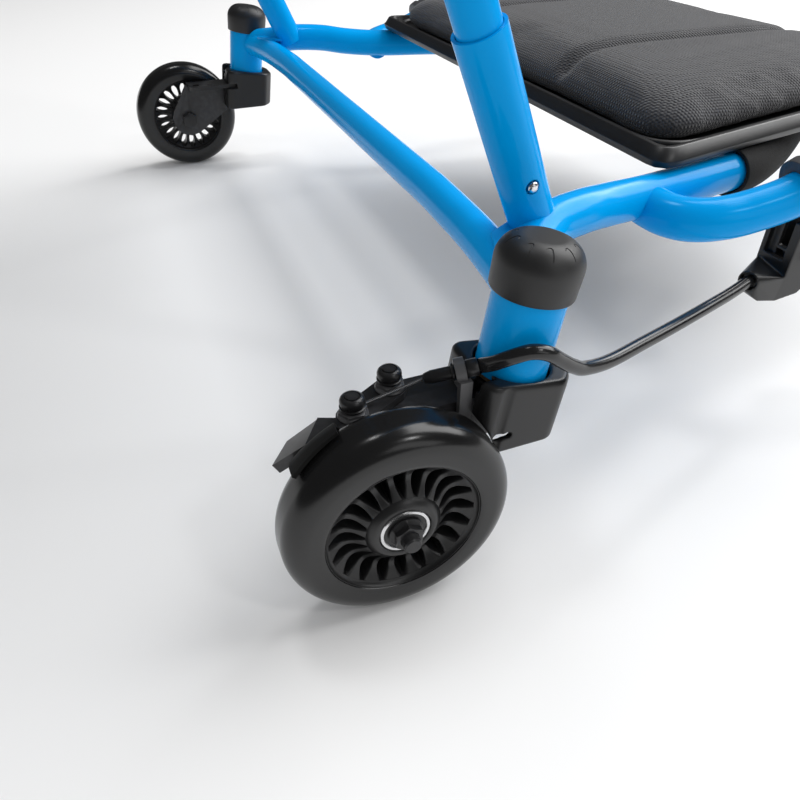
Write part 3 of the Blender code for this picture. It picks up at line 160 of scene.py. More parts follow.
def curve_through(places, steps):
    """Catmull-Rom: between two places a cubic whose slope at each is half the way between its neighbours."""
    p = np.asarray(places, float)
    p = np.vstack([2 * p[0] - p[1], p, 2 * p[-1] - p[-2]])
    t = (np.arange(steps) / steps)[None, :, None]
    a, b, c, d = (p[i : len(p) - 3 + i, None] for i in range(4))
    bend = 2 * a - 5 * b + 4 * c - d
    spans = 0.5 * (2 * b + (c - a) * t + bend * t**2 + (3 * b - a - 3 * c + d) * t**3)
    return np.vstack([spans.reshape(-1, 3), p[-2]])


def reach_along(path):
    """The distance of each place from the path's start, along the path."""
    return np.r_[0, np.cumsum(np.linalg.norm(np.diff(path, axis=0), axis=1))]


def spaced(path, gap):
    """The same path cut into equal steps of about gap, by its length."""
    reach = reach_along(path)
    stops = np.linspace(0, reach[-1], max(2, int(round(reach[-1] / gap)) + 1))
    return np.stack([np.interp(stops, reach, path[:, i]) for i in range(3)], 1)


def skin(rows, joined=False):
    """Faces between rows of points, each row closed on itself; joined links the last row to the first."""
    rows = np.asarray(rows, float)
    count, around = rows.shape[:2]
    i = np.arange(count if joined else count - 1)[:, None]
    k = np.arange(around)[None, :]
    after, beside = (i + 1) % count, (k + 1) % around
    corners = [i * around + k, i * around + beside, after * around + beside, after * around + k]
    return rows.reshape(-1, 3), np.stack(corners, -1).reshape(-1, 4).tolist()


def square_to(way, level=UP):
    """Two unit ways square to each row of ways: one square to level too, and the one square to both."""
    side = np.cross(level, way)
    side /= np.linalg.norm(side, axis=-1)[..., None]
    return side, np.cross(way, side)


def ring_round(side, rise, around):
    """Unit ways round a circle: cos a side + sin a rise, the angle a in even steps."""
    a = np.linspace(0, 2 * math.pi, around, endpoint=False)[None, :, None]
    return np.cos(a) * side[..., None, :] + np.sin(a) * rise[..., None, :]


def tube(path, radius, around=48, level=UP):
    """A bar: centre + radius (cos a side + sin a rise) along the path, shrinking to a point at both ends."""
    path = np.asarray(path, float)
    slope = np.gradient(path, axis=0)
    slope /= np.linalg.norm(slope, axis=1)[:, None]
    ring = ring_round(*square_to(slope, level), around)
    wall = path[:, None] + ring * np.broadcast_to(radius, len(path))[:, None, None]
    ends = np.repeat(path[[0, -1], None], around, axis=1)
    return skin(np.concatenate([ends[:1], wall, ends[1:]]))


def bored_tube(path, radius, bore, around):
    """A tube along the path: its outer rings, then its inner rings on the way back, joined at both ends."""
    slope = np.gradient(path, axis=0)
    slope /= np.linalg.norm(slope, axis=1)[:, None]
    ring = ring_round(*square_to(slope), around)
    wall = path[:, None] + ring * radius
    return skin(np.concatenate([wall, (path[:, None] + ring * bore)[::-1]]), True)


def spun(profile, base, axis, around=64, joined=False):
    """base + axis * distance + radius (cos a side + sin a rise), for each (radius, distance) given."""
    profile = np.asarray(profile, float)
    axis = np.asarray(axis, float) / np.linalg.norm(axis)
    ring = ring_round(*square_to(axis, UP if abs(axis[2]) < 0.9 else (1.0, 0.0, 0.0)), around)
    out = profile[:, 0, None, None] * ring
    return skin(np.asarray(base, float) + profile[:, 1, None, None] * axis + out, joined)


def rod(radius, low, high, base, axis, around):
    """A plain round bar between two distances along an axis."""
    return spun([(0, low), (radius, low), (radius, high), (0, high)], base, axis, around)


def eased(outline, cut, steps):
    """Each corner gives way to a quadratic curve that starts and ends cut away, or 0.48 of the edge."""
    p = np.asarray(outline, float)
    before, after = np.roll(p, 1, axis=0) - p, np.roll(p, -1, axis=0) - p
    reach = [np.linalg.norm(e, axis=1)[:, None] for e in (before, after)]
    cut = np.broadcast_to(cut, len(p))[:, None]
    first = p + before / reach[0] * np.minimum(cut, 0.48 * reach[0])
    last = p + after / reach[1] * np.minimum(cut, 0.48 * reach[1])
    t = np.linspace(0, 1, steps + 1)[None, :, None]
    rounded = (1 - t) ** 2 * first[:, None] + 2 * t * (1 - t) * p[:, None] + t**2 * last[:, None]
    return rounded.reshape(-1, p.shape[1])


def pushed(outline, way):
    """A flat outline of places and the same outline moved by way, joined by walls."""
    outline = np.asarray(outline, float)
    n = len(outline)
    k = np.arange(n)
    walls = np.stack([k, (k + 1) % n, n + (k + 1) % n, n + k], 1).tolist()
    return np.vstack([outline, outline + way]), [k.tolist(), (n + k).tolist()] + walls


def solid(name, skins):
    """One mesh object from closed skins in millimetres, with doubles merged and faces turned outwards."""
    places, faces, base = [], [], 0
    for points, corners in skins:
        places.append(np.asarray(points) * 0.001)
        faces += [[c + base for c in face] for face in corners]
        base += len(points)
    mesh = bpy.data.meshes.new(name)
    mesh.from_pydata(np.vstack(places).tolist(), [], faces)
    work = bmesh.new()
    work.from_mesh(mesh)
    bmesh.ops.remove_doubles(work, verts=work.verts, dist=1e-7)
    bmesh.ops.dissolve_degenerate(work, edges=work.edges, dist=1e-8)
    bmesh.ops.recalc_face_normals(work, faces=work.faces)
    work.to_mesh(mesh)
    work.free()
    made = bpy.data.objects.new(name, mesh)
    scene.collection.objects.link(made)
    return made


def settled(made):
    """Puts what the piece's modifiers make into its own mesh, and takes them off."""
    seen = made.evaluated_get(bpy.context.evaluated_depsgraph_get())
    mesh = bpy.data.meshes.new_from_object(seen)
    made.modifiers.clear()
    made.data = mesh


def softened(made, grid):
    """A moulding's soft edges: the surface is rebuilt on a fine grid, each point drawn to its neighbours."""
    remesh = made.modifiers.new("grid", "REMESH")
    remesh.mode = "VOXEL"
    remesh.voxel_size = grid * 0.001
    smooth = made.modifiers.new("soften", "SMOOTH")
    smooth.factor = 0.5
    smooth.iterations = 9
    settled(made)


def finished(made, finish, body, nodes=(), crease=35, rounding=0.0):
    """Gives a piece its finish, smooth shading with sharp lines where faces meet at more than crease, a
    round on its sharp edges, the body that it rides on and the nodes that it stands for."""
    made.data.materials.clear()
    made.data.materials.append(finish)
    made.data.shade_smooth()
    made.data.set_sharp_from_angle(angle=math.radians(crease))
    if rounding:
        bevel = made.modifiers.new("rounding", "BEVEL")
        bevel.width = rounding * 0.001
        bevel.segments = 2
        bevel.limit_method = "ANGLE"
        bevel.angle_limit = math.radians(32)
        bevel.harden_normals = True
        made.data.shade_smooth()
    if body:
        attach(made, body)
    if nodes:
        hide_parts(*nodes)
    return made


def piece(name, skins, finish, body="frame", nodes=(), cuts=(), soft=0.0, crease=35, rounding=0.0):
    """A finished piece from its skins: the room of other skins is cut away, and a moulding is softened."""
    made = solid(name, skins)
    for cutter_skin in cuts:
        cutter = solid("cutter", [cutter_skin])
        cut = made.modifiers.new("cut", "BOOLEAN")
        cut.operation = "DIFFERENCE"
        cut.solver = "EXACT"
        cut.object = cutter
        settled(made)
        bpy.data.objects.remove(cutter)
    if soft:
        softened(made, soft)
    return finished(made, finish, body, nodes, crease, rounding)


def new_group(name, inputs, outputs):
    """An empty shader group with named number or vector sockets."""
    group = bpy.data.node_groups.new(name, "ShaderNodeTree")
    for sockets, way in ((inputs, "INPUT"), (outputs, "OUTPUT")):
        for title, kind in sockets.items():
            group.interface.new_socket(name=title, in_out=way, socket_type="NodeSocket" + kind)
    return group, group.nodes.new("NodeGroupInput").outputs, group.nodes.new("NodeGroupOutput").inputs


def skin_grain():
    """Group: fine bumps and slow cloudy change of a coated or moulded skin, from two noises of one place."""
    inputs = {"Place": "Vector", "Fine": "Float", "Broad": "Float"}
    group, given, out = new_group("skin_grain", inputs, {"Height": "Float", "Tone": "Float"})
    for socket, scale, detail in (("Height", "Fine", 2.0), ("Tone", "Broad", 3.0)):
        noise = put(group, "TexNoise", {"Detail": detail}, {"Vector": given["Place"], "Scale": given[scale]})
        group.links.new(noise.outputs["Fac"], out[socket])
    return group


def edge_rub():
    """Group: where a convex edge is rubbed paler, from the surface's pointiness broken up by a noise."""
    group, given, out = new_group("edge_rub", {"Place": "Vector", "Amount": "Float"}, {"Mask": "Float"})
    shape = put(group, "NewGeometry")
    bent = {"From Min": 0.53, "From Max": 0.62}
    edge = put(group, "MapRange", bent, {"Value": shape.outputs["Pointiness"]})
    noise = put(group, "TexNoise", {"Scale": 260.0}, {"Vector": given["Place"]})
    broken = put(group, "Math", links={0: edge.outputs["Result"], 1: noise.outputs["Fac"]}, mode="MULTIPLY")
    scaled = put(group, "Math", links={0: broken.outputs["Value"], 1: given["Amount"]}, mode="MULTIPLY")
    group.links.new(scaled.outputs["Value"], out["Mask"])
    return group


GRAIN = skin_grain()
RUB = edge_rub()


def shader_of(finish):
    """The shader that a finish's colour, roughness and bumps lead to."""
    return finish.node_tree.nodes["Principled BSDF"]


def finish_of(
    name, dark, pale, rough, fine, deep, broad=28.0, rub=0.0, rubbed=(0.3, 0.3, 0.31), metal=0.0
):
    """A finish: colour drifts from dark to pale and roughness between two values with the broad noise, the
    fine noise stands deep millimetres high, and edges are rubbed."""
    material = bpy.data.materials.new(name)
    material.use_nodes = True
    tree = material.node_tree
    shader = shader_of(material)
    place = put(tree, "TexCoord").outputs["Object"]
    grain = put(tree, "Group", {"Fine": fine, "Broad": broad}, {"Place": place}, GRAIN).outputs
    colour = put(tree, "Mix", {"A": (*dark, 1.0), "B": (*pale, 1.0)}, {"Factor": grain["Tone"]}, "RGBA")
    if rub:
        worn = put(tree, "Group", {"Amount": rub}, {"Place": place}, RUB).outputs["Mask"]
        under = colour.outputs["Result"]
        colour = put(tree, "Mix", {"B": (*rubbed, 1.0)}, {"Factor": worn, "A": under}, "RGBA")
    spread = {"From Min": 0.3, "From Max": 0.7, "To Min": rough[0], "To Max": rough[1]}
    polish = put(tree, "MapRange", spread, {"Value": grain["Tone"]})
    bump = put(tree, "Bump", {"Strength": 1.0, "Distance": deep * 0.001}, {"Height": grain["Height"]})
    tree.links.new(colour.outputs["Result"], shader.inputs["Base Color"])
    tree.links.new(polish.outputs["Result"], shader.inputs["Roughness"])
    tree.links.new(bump.outputs["Normal"], shader.inputs["Normal"])
    shader.inputs["Metallic"].default_value = metal
    return material


BLUE = finish_of("blue_gloss_paint", (0.0, 0.315, 0.76), (0.0, 0.345, 0.83), (0.14, 0.2), 900.0, 0.004, 14.0)
shader_of(BLUE).inputs["Specular Tint"].default_value = (0.4, 0.85, 1.0, 1.0)
shader_of(BLUE).inputs["IOR"].default_value = 1.27

cross_bend = [(68.5, 25, 117), (74.8, 46, 117.8), (78.2, 70, 118.5), (80.6, 100, 119.5), (82.6, 150, 120)]
cross_halves = [curve_through(corner(-1, cross_bend), 8), curve_through(corner(1, cross_bend[::-1]), 8)]


def outside_post(path, side):
    """The part of a path that lies more than 11 mm from the post's axis."""
    away = np.linalg.norm(np.cross(path - swivel_place(side), SWIVEL), axis=1)
    return path[away > 11.0]


cross_path = outside_post(outside_post(np.vstack(cross_halves), -1), 1)
piece("frame_cross_tube", [tube(cross_path, CROSS_R)], BLUE, nodes=["frame"])

RAIL = [
    (68.5, 25, 118), (80, 45, 121.5), (92, 61.5, 125), (107, 74, 128), (130, 83, 127.5), (152, 91.5, 124.5),
    (183, 99, 122), (232, 109, 121), (280, 123, 120), (350, 168, 119.5), (430, 232, 121), (497, 300, 126),
]
RISER_FOOT = np.array([100.0, 76.8, 130.0])
RISER_LEAN = np.array([-16.0, -2.4, 36.4]) / np.linalg.norm([-16.0, -2.4, 36.4])
RISER_LONG = 93.0
BUTTON_ALONG = 25.6
BUTTON_HOLE_R = 3.4
FIN = [(72, 60, 126.5), (77.5, 76.5, 126.5), (93, 84.5, 127.5), (98, 64, 127.5)]
FIN_THICK = 2.5


def riser_place(side, along):
    """A place on the riser's axis, counted from its foot."""
    return corner(side, RISER_FOOT + RISER_LEAN * np.asarray(along, float)[..., None])


def riser_way(side):
    """One millimetre up the riser's axis."""
    return riser_place(side, 1.0) - riser_place(side, 0.0)


def button_way(side):
    """Straight outboard, square to the riser."""
    lean = RISER_LEAN * np.array([1.0, -side, 1.0])
    out = np.array([0.0, side, 0.0])
    way = out - lean * np.dot(out, lean)
    return way / np.linalg.norm(way)


for tag, side in SIDES.items():
    post_wall = [(POST_R, POST_LOW), (POST_R, POST_HIGH), (POST_BORE, POST_HIGH), (POST_BORE, POST_LOW)]
    post = spun(post_wall, swivel_place(side), SWIVEL, 72, True)
    piece(f"frame_post_{tag}", [post], BLUE, nodes=["frame"], rounding=0.5)
    rail = outside_post(curve_through(corner(side, RAIL), 8), side)
    piece(f"frame_rail_{tag}", [tube(rail, RAIL_R)], BLUE, nodes=["frame"])
    riser_wall = [(0, -5), (RAIL_R, -5), (RAIL_R, RISER_LONG), (9.6, RISER_LONG), (9.6, 12.0), (0, 12.0)]
    riser = spun(riser_wall, riser_place(side, 0.0), riser_way(side), 64)
    hole = rod(BUTTON_HOLE_R, 2, 22, riser_place(side, BUTTON_ALONG), button_way(side), 32)
    piece(f"frame_riser_{tag}", [riser], BLUE, nodes=["frame"], cuts=[hole], rounding=0.35)
    fin = pushed(eased(corner(side, FIN), 2.5, 4), np.array([0.0, 0.0, FIN_THICK]))
    piece(f"frame_fin_{tag}", [fin], BLUE, nodes=["frame"], rounding=0.6)

BOOM_Z = 126.0
SOCKET_BACK = REAR_AXLE + 472.0
SOCKET_R = 17.0
BOOM_HOLE = np.array([SOCKET_BACK + 52.0, 0.0, BOOM_Z])
socket_wall = [(0, 0), (SOCKET_R, 0), (SOCKET_R, 70.0), (14.5, 70.0), (14.5, 10.0), (0, 10.0)]
socket = spun(socket_wall, (SOCKET_BACK, 0, BOOM_Z), (1, 0, 0), 64)
hole = rod(BUTTON_HOLE_R, 5, 30, BOOM_HOLE, UP, 32)
piece("frame_boom_socket", [socket], BLUE, nodes=["frame"], cuts=[hole], rounding=0.5)


# Swivel joint of each rear wheel: two flanged bronze bushes pressed into the post and the bolt they turn on.
# They are turned parts, hidden between the post and its cap, and keep the shapes that they were machined to.
BRONZE = finish_of(
    "bronze_bush", (0.40, 0.26, 0.12), (0.50, 0.34, 0.17), (0.3, 0.45), 1500.0, 0.004, metal=0.85
)
BLACK_STEEL = finish_of(
    "black_coated_steel", (0.010, 0.010, 0.011), (0.020, 0.020, 0.021), (0.26, 0.36), 1300.0, 0.010,
    rub=0.5, rubbed=(0.10, 0.10, 0.105), metal=0.25,
)
for name in ("swivel_bush_lower", "swivel_bush_upper"):
    for tag in SIDES:
        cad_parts[f"{name}_{tag}"].material_slots[0].material = BRONZE
for tag in SIDES:
    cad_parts[f"swivel_bolt_{tag}"].material_slots[0].material = BLACK_STEEL


# Post caps: soft rubber domes pressed over the top of each post, with a broad round shoulder.
# Ten short hooked grooves are moulded into the shoulder of each, five of either hand.
RUBBER = finish_of(
    "black_rubber", (0.012, 0.012, 0.0125), (0.017, 0.017, 0.0175), (0.42, 0.5), 2200.0, 0.016,
    rub=0.25, rubbed=(0.05, 0.05, 0.052),
)
CAP_R = 18.46
CAP_FOOT_R = 18.0
CAP_SHOULDER = 10.9
CAP_BOTTOM = 78.5
CAP_TOP = 101.6
CAP_SEAT = 91.6
GROOVES = 10
GROOVE_FIRST = 210.0
HOOK = np.array([(-5.5, 0.28), (-2.5, 0.23), (2.0, 0.215), (5.0, 0.27), (5.8, 0.42), (5.8, 0.58)])


def shoulder_place(sweep):
    """Radius and height on the cap's round shoulder, the sweep going from 0 on top to a quarter turn."""
    radius = CAP_R - CAP_SHOULDER + CAP_SHOULDER * np.sin(sweep)
    return radius, CAP_TOP - CAP_SHOULDER + CAP_SHOULDER * np.cos(sweep)


def cap_place(side, turn_angle, share):
    """A place on the cap from its angle round the cap and the share of the shoulder gone down."""
    radius, height = shoulder_place(share * math.pi / 2)
    sideways = np.cross((0.0, 1.0, 0.0), SWIVEL)
    rise = np.cross(SWIVEL, sideways)
    ring = np.cos(turn_angle)[:, None] * sideways + np.sin(turn_angle)[:, None] * rise
    return swivel_place(side) + height[:, None] * SWIVEL + radius[:, None] * ring


def hooked_groove(side, hook):
    """One groove's room: a thin bar along the hook, mirrored on the second half, tapering at both ends."""
    hand = 1.0 if hook < GROOVES / 2 else -1.0
    turn_angle = GROOVE_FIRST + 360.0 / GROOVES * hook + hand * HOOK[:, 0]
    groove = curve_through(cap_place(side, -side * np.radians(turn_angle), HOOK[:, 1]), 4)
    radius = 0.08 + 0.24 * np.sin(np.linspace(0.1, math.pi - 0.06, len(groove))) ** 0.4
    return tube(groove, radius, 8, SWIVEL)


for tag, side in SIDES.items():
    shoulder = np.stack(shoulder_place(np.linspace(0, math.pi / 2, 25)), 1)
    foot = [(CAP_FOOT_R + 0.05, CAP_BOTTOM + 1.0), (CAP_FOOT_R - 0.3, CAP_BOTTOM + 0.25)]
    foot += [(CAP_FOOT_R - 1.0, CAP_BOTTOM)]
    inside = [(16.2, CAP_BOTTOM), (16.2, CAP_SEAT), (10.7, CAP_SEAT), (10.7, 96.9), (0, 96.9)]
    cap_wall = np.vstack([[(0, CAP_TOP)], shoulder, foot, inside])
    grooves = [hooked_groove(side, hook) for hook in range(GROOVES)]
    cap = spun(cap_wall, swivel_place(side), SWIVEL, 96)
    piece(f"cap_{tag}", [cap], RUBBER, nodes=[f"post_cap_{tag}"], cuts=grooves, crease=30)


# Caster housings: black mouldings that turn with the wheel and shield the foot of the post.
# Each is a hollow shell with a mouth that the post stands in, a slot low on its face and one round flute.
PLASTIC = finish_of(
    "black_moulded_plastic", (0.008, 0.008, 0.0085), (0.012, 0.012, 0.0125), (0.34, 0.42), 2600.0, 0.010,
    rub=0.2, rubbed=(0.06, 0.06, 0.062),
)
HOUSING_LAG = 3.0
HOUSING_WALL = 3.0
HOUSING_FOOT = 61.0
HOUSING_HEAD = 94.6
HEAD_ROUND = 2.6
MOUTH_R = 17.1
WHEEL_ROOM_R = 50.7


def ring_arc(centre, radius, first, last, steps):
    """A flat arc, its angles in degrees."""
    a = np.radians(np.linspace(first, last, steps + 1))
    return np.stack([centre[0] + radius * np.cos(a), centre[1] + radius * np.sin(a)], 1)


def upright_plate(side, outline, near, far):
    """A plate along the scooter from (forward, up) places, between two distances inboard."""
    outline = np.asarray(outline, float)
    stood = np.column_stack([outline[:, 0], np.full(len(outline), near), outline[:, 1]])
    return pushed(corner(side, stood), np.array([0.0, -side * (far - near), 0.0]))


def box_skin(side, forward, inboard, up):
    """A block between two places on each axis."""
    (back, front), (near, far), (low, high) = forward, inboard, up
    foot = corner(side, [(back, near, low), (front, near, low), (front, far, low), (back, far, low)])
    return pushed(foot, np.array([0.0, 0.0, high - low]))


def housing_plan(inset):
    """The housing from above: a flat side, a corner, a slanting cheek to a flat front, and a square back."""
    outer, inner = 5.0 + inset, 45.0 - inset
    back, front = 38.5 + inset, 85.0 - inset
    cheek = 77.0 - 0.45 * inset
    flat = 9.0 - 0.62 * inset
    corners = [(cheek, outer), (front, outer + flat), (front, inner - flat), (cheek, inner), (back, inner)]
    back_round = 8.0 - 1.2 * inset
    return eased(corners + [(back, outer)], np.array([3.2, 5.0, 5.0, 3.2, back_round, back_round]), 8)


def raked_form(side, levels):
    """Rows of the housing's plan for each (inset, height, tip), each end closed by one face: a row leans
    forward by tan(rake) * (height - 50), less the housing's lag, and tips from level at 0 to square to the
    swivel's axis at 1."""
    rows = []
    for inset, height, tip in levels:
        plan = housing_plan(inset)
        tipped = height - (plan[:, 0] - SWIVEL_FORWARD) * math.tan(RAKE) * tip
        lean = (tipped - AXLE_UP) * math.tan(RAKE) - HOUSING_LAG
        rows.append(corner(side, np.column_stack([plan[:, 0] + lean, plan[:, 1], tipped])))
    points, faces = skin(rows)
    around = len(rows[0])
    last = len(points) - around
    return points, faces + [list(range(around)), list(range(last, last + around))]


turn_in = np.radians(np.linspace(0, 90, 7))
head_drawn_in = HEAD_ROUND * (1 - np.cos(turn_in))
head_height = HOUSING_HEAD - HEAD_ROUND * (1 - np.sin(turn_in))
head_rows = np.stack([head_drawn_in, head_height, np.ones(len(turn_in))], 1)
housing_levels = np.vstack([[(0.7, HOUSING_FOOT, 0.0), (0.0, HOUSING_FOOT + 0.8, 0.0)], head_rows])
cavity_levels = [(HOUSING_WALL, 50.0, 0.0), (HOUSING_WALL, 84.9, 0.0)]
window = np.vstack([ring_arc((54.4, 70.0), 1.7, -90, 90, 12), ring_arc((49.2, 69.4), 1.7, 90, 270, 12)])
mouth_wall = [(0, 37.7), (MOUTH_R, 37.7), (MOUTH_R, 44), (18, 45.2), (18, 66), (0, 66)]
for tag, side in SIDES.items():
    rooms = [
        raked_form(side, cavity_levels),
        rod(12.8, 15, 45, swivel_place(side), SWIVEL, 48),
        spun(mouth_wall, swivel_place(side), SWIVEL, 72),
        rod(WHEEL_ROOM_R, -40, 16, corner(side, (0.0, 0.0, AXLE_UP)), (0, -side, 0), 128),
        box_skin(side, (20, 47.5), (14.3, 22.4), (53, 110)),
        box_skin(side, (20, 50), (17.6, 60), (80.6, 84.9)),
        box_skin(side, (20, 49.5), (12, 28.2), (91.3, 110)),
        upright_plate(side, window, 0, 12),
        rod(4.6, -5, 60, corner(side, (45.6, 1.4, 50.0)), SWIVEL, 40),
    ]
    piece(
        f"housing_{tag}", [raked_form(side, housing_levels)], PLASTIC, f"caster_{tag}",
        [f"caster_housing_{tag}"], cuts=rooms, soft=0.45, crease=180,
    )


# Axle arms, brake arm, shoe and cable stop: pressed and bent steel, coated black or dark grey.
# Each keeps its own machined outline; its cut edges are rounded and its coat is rubbed along them.
GREY_STEEL = finish_of(
    "grey_coated_steel", (0.075, 0.075, 0.078), (0.100, 0.100, 0.104), (0.36, 0.46), 1500.0, 0.010,
    rub=0.5, rubbed=(0.16, 0.16, 0.165), metal=0.2,
)
LINING = finish_of(
    "brake_lining", (0.003, 0.003, 0.003), (0.006, 0.006, 0.006), (0.6, 0.75), 1800.0, 0.012,
)
shader_of(LINING).inputs["Specular IOR Level"].default_value = 0.25


def pressed(name, node, finish, body, rounding):
    """A steel part taken from its node's own shape: corners merged, flat faces made whole, edges rounded."""
    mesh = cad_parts[node].data.copy()
    mesh.name = name
    work = bmesh.new()
    work.from_mesh(mesh)
    bmesh.ops.remove_doubles(work, verts=work.verts, dist=2e-6)
    bmesh.ops.dissolve_limit(
        work, angle_limit=math.radians(0.6), verts=work.verts, edges=work.edges, use_dissolve_boundaries=False
    )
    work.to_mesh(mesh)
    work.free()
    made = bpy.data.objects.new(name, mesh)
    scene.collection.objects.link(made)
    finished(made, finish, body, [node], rounding=rounding)


for tag in SIDES:
    pressed(f"arm_{tag}", f"axle_arm_{tag}", BLACK_STEEL, f"caster_{tag}", 0.5)
pressed("brake_plate", "brake_arm", BLACK_STEEL, "brake_arm", 0.4)
pressed("brake_shoe_curved", "brake_shoe", LINING, "brake_arm", 0.3)
pressed("cable_stop_strap", "cable_stop", GREY_STEEL, "caster_right", 0.35)


# Wheels: a urethane tyre cast round a black moulded core, with a 22 mm ball bearing pressed in each side.
# Twenty slots, pointed at both ends, leave twenty spokes in a dished web.
URETHANE = finish_of(
    "black_urethane", (0.006, 0.006, 0.0062), (0.008, 0.008, 0.0082), (0.19, 0.23), 700.0, 0.006, 12.0
)
BRIGHT = finish_of(
    "bright_steel", (0.66, 0.66, 0.67), (0.80, 0.80, 0.81), (0.16, 0.26), 3000.0, 0.003, metal=1.0
)
SEAL = finish_of(
    "bearing_seal", (0.012, 0.012, 0.013), (0.02, 0.02, 0.021), (0.4, 0.5), 2000.0, 0.01
)
SLOT_IN = 16.2
SLOT_OUT = 33.0
SLOT_HALF = 2.6
SPOKES = 20
SPOKE_SQUARE = 11.0
WHEELS = {
    "right": (corner(-1, (0.0, 0.0, AXLE_UP)), -1),
    "left": (corner(1, (0.0, 0.0, AXLE_UP)), 1),
    "front": (np.array([353.5, 0.0, AXLE_UP]), -1),
}
OPEN_AT = [0, 0.1, 0.25, 0.46, 0.68, 0.86, 1]
OPEN_SHARE = [0, 0.36, 0.72, 0.93, 1, 0.62, 0]
TYRE_LIP = [(36.0, 12.6), (34.9, 12.4), (34.2, 12.1), (33.9, 11.6), (33.9, 10.3), (35.6, 10.3)]
HUB = [(8.0, 4.7), (11.35, 4.7), (11.35, 11.9), (11.7, 12.3), (13.6, 12.3), (14.3, 11.8), (16.6, 9.8)]
RIM = [
    (32.0, 9.5), (32.6, 9.9), (33.1, 10.5), (33.45, 11.2), (33.6, 11.75), (33.82, 11.75), (33.82, 10.0),
    (35.2, 10.0),
]
OUTER_RACE = [(11.0, 5.0), (11.0, 11.7), (10.7, 12.0), (9.6, 12.0), (9.3, 11.6), (9.3, 5.0)]
INNER_RACE = [(6.3, 5.0), (6.3, 11.7), (6.0, 12.0), (4.6, 12.0), (4.25, 11.7), (4.25, 5.0)]
SHIELD = [(9.35, 5.6), (9.35, 11.3), (8.2, 11.6), (7.2, 11.3), (6.25, 11.4), (6.25, 5.6)]


def spoke_skins(centre):
    """Each spoke is a loop carried outwards: the loop is a box with round corners, half as wide as the angle
    that the slots leave at that radius, and as thick as the web: proud at hub and rim, dished in between."""
    r = np.linspace(SLOT_IN - 0.6, SLOT_OUT + 0.6, 30)
    share = np.clip((r - SLOT_IN) / (SLOT_OUT - SLOT_IN), 0, 1)
    web = 10.0 - 4.5 * np.sin(math.pi * share) ** 1.2
    half = np.pi / SPOKES - SLOT_HALF * np.interp(share, OPEN_AT, OPEN_SHARE) / r + 0.0005
    t = np.linspace(0, 2 * math.pi, 48, endpoint=False)
    grow = (np.abs(np.cos(t)) ** SPOKE_SQUARE + np.abs(np.sin(t)) ** SPOKE_SQUARE) ** (-1 / SPOKE_SQUARE)
    wide, thick = np.cos(t) * grow, np.sin(t) * grow
    skins = []
    for spoke in range(SPOKES):
        angle = (spoke + 0.5) * 2 * math.pi / SPOKES + half[:, None] * wide[None, :]
        y = web[:, None] * thick[None, :]
        loop = np.stack([r[:, None] * np.sin(angle), y, -r[:, None] * np.cos(angle)], -1) + centre
        ends = [np.repeat(loop[e].mean(axis=0)[None, None], len(t), axis=1) for e in (0, -1)]
        skins.append(skin(np.concatenate([ends[0], loop, ends[1]])))
    return skins


def both_halves(half, centre, around):
    """A ring about the wheel's axle from the (radius, out) profile of its outer half."""
    half = np.array(half)
    return spun(np.vstack([half, half[::-1] * (1, -1)]), centre, (0, 1, 0), around, True)


for tag, (centre, out) in WHEELS.items():
    body = f"wheel_{tag}"
    tyre = both_halves(np.vstack([ring_arc((40.4, 3.1), 9.6, 0, 90, 22), TYRE_LIP]), centre, 160)
    piece(f"tyre_cast_{tag}", [tyre], URETHANE, body, [f"tyre_{tag}"])
    core = spoke_skins(centre) + [both_halves(HUB, centre, 120), both_halves(RIM, centre, 120)]
    piece(f"core_{tag}", core, PLASTIC, body, [f"wheel_core_{tag}"], crease=50)
    for place, way in (("outer", out), ("inner", -out)):
        bearing = f"bearing_{place}_{tag}"
        races = [spun(wall, centre, (0, way, 0), 72, True) for wall in (OUTER_RACE, INNER_RACE)]
        piece(f"{bearing}_races", races, BRIGHT, body, [bearing])
        piece(f"{bearing}_seal", [spun(SHIELD, centre, (0, way, 0), 72, True)], SEAL, body)


# Axle bolts and nuts of the rear wheels: black coated hexagons, the bolt's plain end standing out of its nut.
# The bolt passes through the arm and the bearings; the nut clamps the inner races.
ACROSS_FLATS = math.cos(math.pi / 6)


def hex_skin(base, axis, corner_r, low, high, bore=0.0, flange=0.0):
    """A hexagon between two heights, its corners turned off by a cone at both ends: at each angle the wall
    stands at the hexagon's own distance, and each end's edge falls back by 0.42 of what is past the cone."""
    a = np.linspace(0, 2 * math.pi, 72, endpoint=False)
    from_flat = (a + math.pi / 6) % (math.pi / 3) - math.pi / 6
    wall = corner_r * ACROSS_FLATS / np.cos(from_flat)
    inner = corner_r * ACROSS_FLATS * 0.97
    drop = (wall - inner) * 0.42
    axis = np.asarray(axis, float) / np.linalg.norm(axis)
    ring = ring_round(*square_to(axis, UP if abs(axis[2]) < 0.9 else (1.0, 0.0, 0.0)), 72)[0]
    steady = np.ones_like(a)
    rows = [(bore * steady, low * steady)]
    if flange:
        rows += [(flange * steady, low * steady), (flange * steady, (low + 0.5) * steady)]
        rows += [(wall + 0.25, (low + 1.5) * steady), (wall, (low + 1.7) * steady)]
    else:
        rows += [(inner * steady, low * steady), (wall, low + drop)]
    rows += [(wall, high - drop), (inner * steady, high * steady), (bore * steady, high * steady)]
    grid = [np.asarray(base, float) + ring * r[:, None] + axis * h[:, None] for r, h in rows]
    return skin(np.array(grid), bore > 0)


